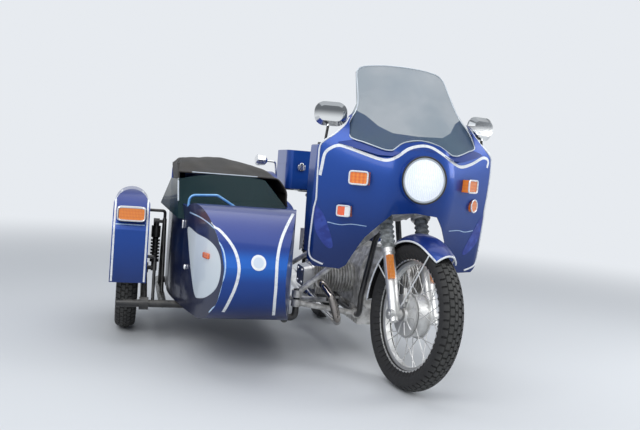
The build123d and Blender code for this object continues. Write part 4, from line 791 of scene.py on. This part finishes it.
# Bare badge: a white enamelled disc in a plated ring on the nose of the sidecar body.
badge_paint = Paint("badge_white", (0.78, 0.80, 0.82), 0.2, 0.0, Coat_Weight=1.0)
badge_at, _ = badge_paint.place()
badge_x, badge_z = badge_at[0] + 0.2665, badge_at[2] - 0.515
badge_r = (badge_x * badge_x + badge_z * badge_z).root()
badge_paint.set(Base_Color=badge_paint.mix(badge_r.fade(0.020, 0.024), (0.62, 0.70, 0.80), (0.85, 0.87, 0.88)),
                Roughness=badge_r.fade(0.024, 0.027) * 0.2 + 0.1)
cover(badge_paint, "nose_disc")

# Screens: bent acrylic sheet, blue-grey on the fairing and dark smoke on the sidecar, with a rolled edge.
# A pale bead along that edge, and one on the sidecar screen's corner, are painted highlights. The sheet is
# clear, with faint scratches and patches of haze.
def acrylic(name, color, clear, hazy, gloss):
    """Clear sheet: its opacity goes from clear to hazy with slow noise."""
    paint = Paint(name, color, 0.06, 0.0, Specular_IOR_Level=gloss)
    haze_mask = paint.noise(4.0, 3.0).fade(0.3, 0.75)
    scratch = paint.noise(30.0, 2.0)
    paint.set(Alpha=haze_mask * (hazy - clear) + clear, Roughness=scratch.fade(0.5, 0.9) * 0.06 + 0.12,
              Base_Color=paint.mix(haze_mask, color, tuple(1.3 * c for c in color)))
    return paint


cover(acrylic("screen_blue_grey", (0.10, 0.15, 0.19), 0.34, 0.48, 0.18), "windscreen")
cover(acrylic("screen_smoke", (0.012, 0.030, 0.034), 0.74, 0.86, 0.12), "sidecar_screen")
# pale beads that are painted highlights on the screens' edges
bead_highlight_paint = Paint("screen_bead", (0.50, 0.56, 0.62), 0.15, 0.0, Coat_Weight=1.0)
bead_highlight_paint.set(Roughness=bead_highlight_paint.noise(50.0) * 0.2 + 0.1)
half_edge = mm((411.5, -686, 1088), (494, -693, 1072), (551, -713, 1036), (587, -703, 1036), (664, -649, 1062),
               (713, -605, 1082), (707, -552, 1147), (658, -500, 1237), (634, -371, 1397), (608, -355, 1427),
               (559, -361, 1438), (411.5, -374.5, 1446))
edge_round = np.concatenate([half_edge, mirrored(half_edge[-2:0:-1])])
edge_bead = laid(through(edge_round, 0.008, closed=True), "windscreen", 0.0)
pipe("windscreen_bead", edge_bead, 0.0028, (0, -1, 0.3), bead_highlight_paint, closed=True, sides=8)
corner_highlight_points = mm((-578.5, -95, 722), (-579.5, -70, 760), (-580.5, -36, 810), (-581.5, -5, 857))
corner_line = through(laid(corner_highlight_points, "sidecar_screen", 0.0), 0.01)
pipe("sidecar_screen_bead", corner_line, 0.004, (1, 0, 0), bead_highlight_paint)

# Cockpit cover: one sheet of dark grey-brown coated cloth, from the screens' upper edge over the cockpit
# to the rear deck, upright on the outer side and sloping on the inner side, with soft folds and a hem;
# along the middle of the hem a pale bead is a painted highlight.
sheet_thick = 0.0022
cover_y = np.concatenate([np.linspace(0.006, 0.2095, 34), np.linspace(0.2125, 0.652, 72)])
top_of = through([(0, 0.005, 0.862), (0, 0.10, 0.908), (0, 0.249, 0.952), (0, 0.40, 0.9545), (0, 0.579, 0.934),
                  (0, 0.66, 0.884)], 0.01)
roof = np.interp(cover_y, top_of[:, 1], top_of[:, 2])
deck_y = [0.0, 0.1, 0.2, 0.3, 0.4, 0.44, 0.5, 0.6, 0.66]
deck_z = [0.719, 0.728, 0.738, 0.748, 0.757, 0.80, 0.846, 0.890, 0.893]
deck = np.interp(cover_y, deck_y, deck_z) - 0.003
outer_low = np.where(cover_y < 0.211, 0.824, deck)
arch = through([(-0.298, 0, 0.700), (-0.298, 0, 0.80), (-0.298, 0, 0.890), (-0.284, 0, 0.926),
                (-0.244, 0, 0.938), (-0.09, 0, 0.954), (0.04, 0, 0.936), (0.16, 0, 0.898), (0.246, 0, 0.812),
                (0.258, 0, 0.75), (0.266, 0, 0.700)], 0.004)
share = np.linspace(0.0, 1.0, 150)
peak = int(arch[:, 2].argmax())
left_low = np.interp(outer_low, arch[:peak, 2], np.arange(peak))
right_low = peak + np.interp(-deck, -arch[peak:, 2], np.arange(len(arch) - peak))
spot = left_low[:, None] + share[None, :] * (right_low - left_low)[:, None]
arch_x = np.interp(spot, np.arange(len(arch)), arch[:, 0])
arch_z = np.interp(spot, np.arange(len(arch)), arch[:, 2])
soft = 160.0
drape_z = -np.log(np.exp(-soft * arch_z) + np.exp(-soft * roof[:, None])) / soft
drape_z = np.maximum(drape_z, np.interp(cover_y, deck_y, deck_z)[:, None] - 0.004)
drape = np.stack([arch_x + body_mid, np.broadcast_to(cover_y[:, None], arch_x.shape), drape_z], axis=-1)
out_way = unit(np.cross(np.gradient(drape, axis=0), np.gradient(drape, axis=1)))
out_way *= np.sign(out_way[..., 2:3] + 0.2)
fold = (0.0022 * np.sin(9.0 * arch_x / 0.28 + 14.0 * cover_y[:, None] + 1.4 * np.sin(11.0 * cover_y[:, None]))
        + 0.0016 * np.sin(31.0 * cover_y[:, None] - 7.0 * arch_x / 0.28 + 2.0 * np.sin(9.0 * arch_x))
        + 0.0010 * np.sin(60.0 * arch_x + 23.0 * cover_y[:, None]))
calm_ahead = np.minimum(1.0, (cover_y - cover_y[0]) / 0.05)[:, None]
calm = calm_ahead * np.minimum(1.0, np.minimum(share, 1 - share) / 0.06)[None, :]
drape_top = drape + ((fold - 0.003) * calm)[..., None] * out_way
vinyl = Paint("cover_cloth", (0.030, 0.028, 0.026), 0.6, 0.0, Specular_IOR_Level=0.3)
vinyl_wear = vinyl.patchy(9.0, 0.35, 0.7, (0.018, 0.017, 0.016), (0.050, 0.046, 0.042), 4.0)
vinyl_grain = vinyl.node("ShaderNodeTexVoronoi", {}, {"Vector": vinyl.place()[1], "Scale": 520.0})
vinyl.set(Roughness=vinyl_wear * 0.15 + 0.52,
          Normal=vinyl.bump(vinyl_grain + vinyl.noise(40.0) * 1.5, 0.0005))
cloth_form = shell(drape_top, drape_top - sheet_thick * out_way)
hood = skin("cockpit_cover", cloth_form, vinyl, sharp=70)
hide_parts("sidecar_cover")
hem_line = drape_top[0] + np.array([0.0, -0.001, 0.0])
# painted highlight: a pale bead along the middle of the front hem
hem_highlight_line = hem_line[30:95] + (0.0, -0.003, 0.002)
hem = pipe("cover_hem", hem_line, 0.0042, (0, 1, 0), vinyl)
hem_highlight = pipe("cover_hem_highlight", hem_highlight_line, 0.0030, (0, 1, 0), bead_highlight_paint)

# Seats: foam pads in black vinyl. Each is blown up as cloth under pressure from a slightly smaller form,
# and the cross seams are drawn in afterwards.
def stuffed(name, node, shrink, voxel, most, seams):
    """A pad in the space of a carried solid: its mesh is joined, drawn in by shrink, rebuilt in even
    cells, blown up with no weight, with no point further than most from its start, and smoothed. Each
    seam (axis, place, depth, half width) then draws the top in by a bell curve."""
    mesh = nodes[node].data.copy()
    mesh.name = name
    form = bmesh.new()
    form.from_mesh(mesh)
    bmesh.ops.remove_doubles(form, verts=form.verts, dist=0.00001)
    form.to_mesh(mesh)
    form.free()
    piece = stand(name, mesh)

    def change(kind, **settings):
        """Adds a modifier with its settings and takes over its result."""
        modifier = piece.modifiers.new(kind, kind)
        for key, value in settings.items():
            setattr(modifier, key, value)
        settle()

    def settle():
        bpy.context.view_layer.update()
        final = bpy.data.meshes.new_from_object(piece.evaluated_get(bpy.context.evaluated_depsgraph_get()))
        piece.modifiers.clear()
        piece.data = final

    def read(values, what):
        found = np.empty(3 * len(values), np.float32)
        values.foreach_get(what, found)
        return found.reshape(-1, 3).astype(float)

    def spots():
        return read(piece.data.vertices, "co")

    def ways():
        return read(piece.data.vertex_normals, "vector")

    def move(points):
        piece.data.vertices.foreach_set("co", points.ravel())
        piece.data.update()

    change("REMESH", mode="VOXEL", voxel_size=voxel)
    change("SMOOTH", iterations=6)
    move(spots() - shrink * ways())
    start = spots()
    cloth = piece.modifiers.new("cloth", "CLOTH")
    cloth.settings.use_pressure = True
    cloth.settings.uniform_pressure_force = 4.0
    cloth.settings.effector_weights.gravity = 0.0
    cloth.point_cache.frame_start, cloth.point_cache.frame_end = 1, 20
    for number in range(1, 21):
        scene.frame_set(number)
    settle()
    moved = spots() - start
    far = np.linalg.norm(moved, axis=1, keepdims=True)
    move(start + moved * np.minimum(1.0, most / np.maximum(far, 1e-9)))
    scene.frame_set(1)
    change("SMOOTH", iterations=2)
    change("SUBSURF", levels=1, render_levels=1)
    points, out = spots(), ways()
    for axis, place, depth, half in seams:
        points = points - (depth * np.exp(-((points[:, axis] - place) / half) ** 2))[:, None] * out
    move(points)
    piece.data.polygons.foreach_set("use_smooth", np.ones(len(piece.data.polygons), bool))
    piece.data.materials.clear()
    piece.data.materials.append(seat_vinyl.material)
    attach(piece, "motorcycle")
    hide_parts(node)


seat_vinyl = Paint("seat_vinyl", (0.018, 0.018, 0.019), 0.45, 0.0, Coat_Weight=0.2, Coat_Roughness=0.3)
seat_wear = seat_vinyl.patchy(14.0, 0.4, 0.75, (0.014, 0.014, 0.015), (0.045, 0.044, 0.043), 4.0)
seat_grain = seat_vinyl.node("ShaderNodeTexVoronoi", {}, {"Vector": seat_vinyl.place()[1], "Scale": 640.0})
seat_vinyl.set(Roughness=seat_wear * 0.2 + 0.36, Normal=seat_vinyl.bump(seat_grain, 0.0006))
stuffed("seat_pad", "seat", 0.003, 0.006, 0.006,
        [(1, y, 0.0035, 0.006) for y in np.linspace(0.14, 0.60, 9)])
stuffed("sidecar_seat_pads", "sidecar_seat", 0.006, 0.006, 0.012,
        [(0, body_mid + x, 0.005, 0.007) for x in (-0.12, -0.04, 0.04, 0.12)])

# Gauges: two printed dials in one black housing on the fork, each under a plated ring; the printing is
# plain ticks, every fifth one longer, and a pointer. Both are placed as on a straight fork and then
# turned with it about the steering axis.
housing_paint = Paint("gauge_housing", (0.014, 0.014, 0.015), 0.5)
housing_paint.set(Roughness=housing_paint.noise(200.0) * 0.3 + 0.4,
                  Normal=housing_paint.bump(housing_paint.noise(900.0), 0.0003))
cover(housing_paint, "instruments")


class Dial(Paint):
    """Black face on Object coordinates. With a the angle about the dial's middle and r the distance from
    it, a tick is where 60 a / 2 pi is near a whole number, between two radii."""

    def draw(self, middle, level_way, up_way):
        offset = self.vector("SUBTRACT", self.place()[1], tuple(middle))
        u = self.vector("DOT_PRODUCT", offset, level_way, 1)
        v = self.vector("DOT_PRODUCT", offset, up_way, 1)
        r = self.vector("LENGTH", offset, out=1)
        share = v.angle(u) / (2 * pi) + 0.5
        short = ((share * 60.0).fold(0.5) < 0.13).both(r > 0.0285).both(r < 0.0325)
        long = ((share * 12.0).fold(0.5) < 0.045).both(r > 0.0240).both(r < 0.0325)
        band = (r - 0.0205).size() < 0.0004
        pointer = ((u + v * 0.7).size() < 0.0011).both(v < 0.003).both(r < 0.027)
        face = self.mix(short.either(long).either(band), (0.010, 0.010, 0.011), (0.75, 0.76, 0.74))
        self.set(Base_Color=self.mix(pointer.either(r < 0.0035), face, (0.85, 0.30, 0.05)), Coat_Weight=1.0)


fork_turned = radians(9.2)
dial_r, ring_r = 0.0375, 0.0405
head = Vector(joints["steering"]["pos_m"])
head_way = Vector(joints["steering"]["axis"]).normalized()
head_way = head_way if head_way.z > 0 else -head_way
turned = Matrix.Translation(head) @ Matrix.Rotation(fork_turned, 4, head_way) @ Matrix.Translation(-head)
dial_way = (turned.to_3x3() @ Vector((0.0, 0.5, 0.866))).normalized()
dial_level = (turned.to_3x3() @ Vector((1.0, 0.0, 0.0))).normalized()
dial_up = dial_way.cross(dial_level)
dial_turns = turns(64)[None, :, None]
circle = np.cos(dial_turns) * np.array(dial_level) + np.sin(dial_turns) * np.array(dial_up)
for side, _, way in sides:
    start = turned @ Vector((bike_mid + way * 0.05, -0.4371, 0.9756))
    above_it = start + dial_way * 0.08
    _, floor_at, _, _ = nodes["instruments"].ray_cast(above_it, -dial_way)
    _, ring_at, _, _ = nodes["instruments"].ray_cast(above_it + dial_level * 0.041, -dial_way)
    middle = np.array(floor_at + dial_way * 0.0008)
    spread = np.array([0.0, dial_r, dial_r, 0.0])[:, None, None]
    thick = np.array([0.0, 0.0, -0.0006, -0.0006])[:, None, None]
    dial_paint = Dial("dial_" + side, (0.010, 0.010, 0.011), 0.35)
    dial_paint.draw(middle, dial_level, dial_up)
    disc = middle + spread * circle + thick * np.array(dial_way)
    skin("gauge_dial_" + side, disc, dial_paint, "fork")
    ring_line = np.array(start + dial_way * (ring_at - start).dot(dial_way)) + ring_r * circle[0]
    pipe("gauge_ring_" + side, ring_line, 0.0022, dial_way, plating, "fork", closed=True)

# Tyres: black rubber on wire wheels, moulded with blocks across the crown and fine rings on the
# walls; a light grey of dry dust lies on the blocks' faces.
def around(joint, x, r, turn):
    """Points beside a wheel: x along its axle, r away from it, turned by an angle from the top."""
    centre = np.array(joints[joint]["pos_m"])
    axle = np.array(joints[joint]["axis"]) / np.linalg.norm(joints[joint]["axis"])
    top = np.array([0.0, 0.0, 1.0]) - axle[2] * axle
    top /= np.linalg.norm(top)
    fore = np.cross(axle, top)
    x, up, ahead = np.broadcast_arrays(x, r * np.cos(turn), r * np.sin(turn))
    return centre + x[..., None] * axle + up[..., None] * top + ahead[..., None] * fore


def rubber_paint(joint):
    """Rubber whose rings and dust follow the wheel's own radius."""
    paint = Paint(joint + "_rubber", (0.02, 0.02, 0.021), 0.75)
    offset = paint.vector("SUBTRACT", paint.place()[1], joints[joint]["pos_m"])
    along = paint.vector("DOT_PRODUCT", offset, Vector(joints[joint]["axis"]).normalized(), 1)
    whole = paint.vector("LENGTH", offset, out=1)
    reach = (whole * whole - along * along).root()
    rings = (reach * 1570.0).wave() * reach.fade(0.306, 0.300) * reach.fade(0.262, 0.268)
    dust = paint.noise(28.0) * 0.6 + reach.fade(0.300, 0.325) * 0.5
    paint.set(Base_Color=paint.mix(dust.fade(0.25, 0.95), (0.014, 0.014, 0.015), (0.050, 0.050, 0.048)),
              Roughness=paint.noise(60.0) * 0.2 + 0.65,
              Normal=paint.bump(rings * 0.5 + paint.noise(700.0) * 0.4, 0.0006))
    return paint


tyre_half, tread_half, shoulder_drop = 0.057, 0.046, 0.017
tread_depth = 0.0075
tread_pitches = 58
tread_edges = np.array([0.13, 0.20, 0.55, 0.62, 0.97])
# columns: r of the tyre's crown, rim flange radius, joint, wheel body, node
tyre_rows = [(0.325, 0.256, "front_wheel_spin", "front_wheel", "front_tyre"),
             (0.324, 0.243, "rear_wheel_spin", "rear_wheel", "rear_tyre"),
             (0.324, 0.243, "sidecar_wheel_spin", "sidecar_wheel", "sidecar_tyre")]
for crown, rim_r, joint, body, node in tyre_rows:
    belly = rim_r + 0.42 * (crown - rim_r)
    # half section from the crown outwards: an arc over the tread, then the bulging wall to the bead
    lateral = np.sort(np.concatenate([tread_edges, tread_edges + 0.03, [0.0, 0.37, 0.80]])).clip(0, 1)
    tread_r = crown - shoulder_drop * lateral ** 2
    wall = np.linspace(0.0, 1.0, 14)[1:]
    wall_x = tread_half * (1 - wall) ** 2 + 2 * (tyre_half + 0.010) * wall * (1 - wall) + 0.0265 * wall ** 2
    wall_r = ((crown - shoulder_drop) * (1 - wall) ** 2 + 2 * belly * wall * (1 - wall)
              + (rim_r - 0.011) * wall ** 2)
    half_x = np.concatenate([lateral * tread_half, wall_x])
    half_r = np.concatenate([tread_r, wall_r])
    section_x = np.concatenate([-half_x[::-1], half_x[1:]])[None, :]
    section_r = np.concatenate([half_r[::-1], half_r[1:]])[None, :]
    cuts = np.array([0.0, 0.05, 0.22, 0.27, 0.5, 0.55, 0.72, 0.77])
    turn = (np.arange(tread_pitches)[:, None] + cuts[None, :]).reshape(-1, 1)
    phase = turn % 1.0
    # cross grooves: the outer and centre rows are cut at the start of each pitch, the others half a pitch on
    outer_cut = (phase > 0.04) & (phase < 0.24)
    inner_cut = (phase > 0.54) & (phase < 0.74)
    far = np.abs(section_x) / tread_half
    middle_row = (far > 0.18) & (far < 0.58)
    lane = ((far > 0.13) & (far < 0.20)) | ((far > 0.555) & (far < 0.645))
    groove = np.where(middle_row, inner_cut, outer_cut) & (far < 1.02) | lane
    points = around(joint, section_x, section_r - tread_depth * groove, 2 * pi * turn / tread_pitches)
    tyre = skin(node + "_tread", points, rubber_paint(joint), body, close_rows=True)
    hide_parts(node)


# Front fender: a short crowned blade of pressed steel over the front wheel, painted blue, black inside,
# with a rolled edge painted white all round. It ends just ahead of the front stays.
blade_half, blade_low, blade_rise = 0.0655, 0.3205, 0.0400
blade_back, blade_front = -90.0, 36.0
blade_turn = np.radians(np.linspace(blade_back, blade_front, 90))[:, None]
blade_across = np.linspace(-1.0, 1.0, 21)[None, :]
blade_ends = 1.0 - 0.28 * np.clip((np.degrees(blade_turn) - blade_front + 16.0) / 16.0, 0.0, 1.0) ** 2
blade_x = blade_half * blade_ends * blade_across
blade_r = blade_low + blade_rise * (1.0 - np.abs(blade_across) ** 2.2) + 0.0 * blade_turn
blade_top = around("front_wheel_spin", blade_x, blade_r, blade_turn)
blade_under = around("front_wheel_spin", blade_x * 0.965, blade_r - 0.003, blade_turn)
blade = skin("front_fender_blade", shell(blade_top, blade_under), fender_paints["front_fender"],
             "fork", sharp=50)
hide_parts("front_fender")
blade_edge = np.concatenate([blade_top[:, 0], blade_top[-1, 1:-1], blade_top[::-1, -1], blade_top[0, -2:0:-1]])
pipe("front_fender_edge", blade_edge, 0.0042, (0, -0.3, 1), white_tape, "fork", closed=True)
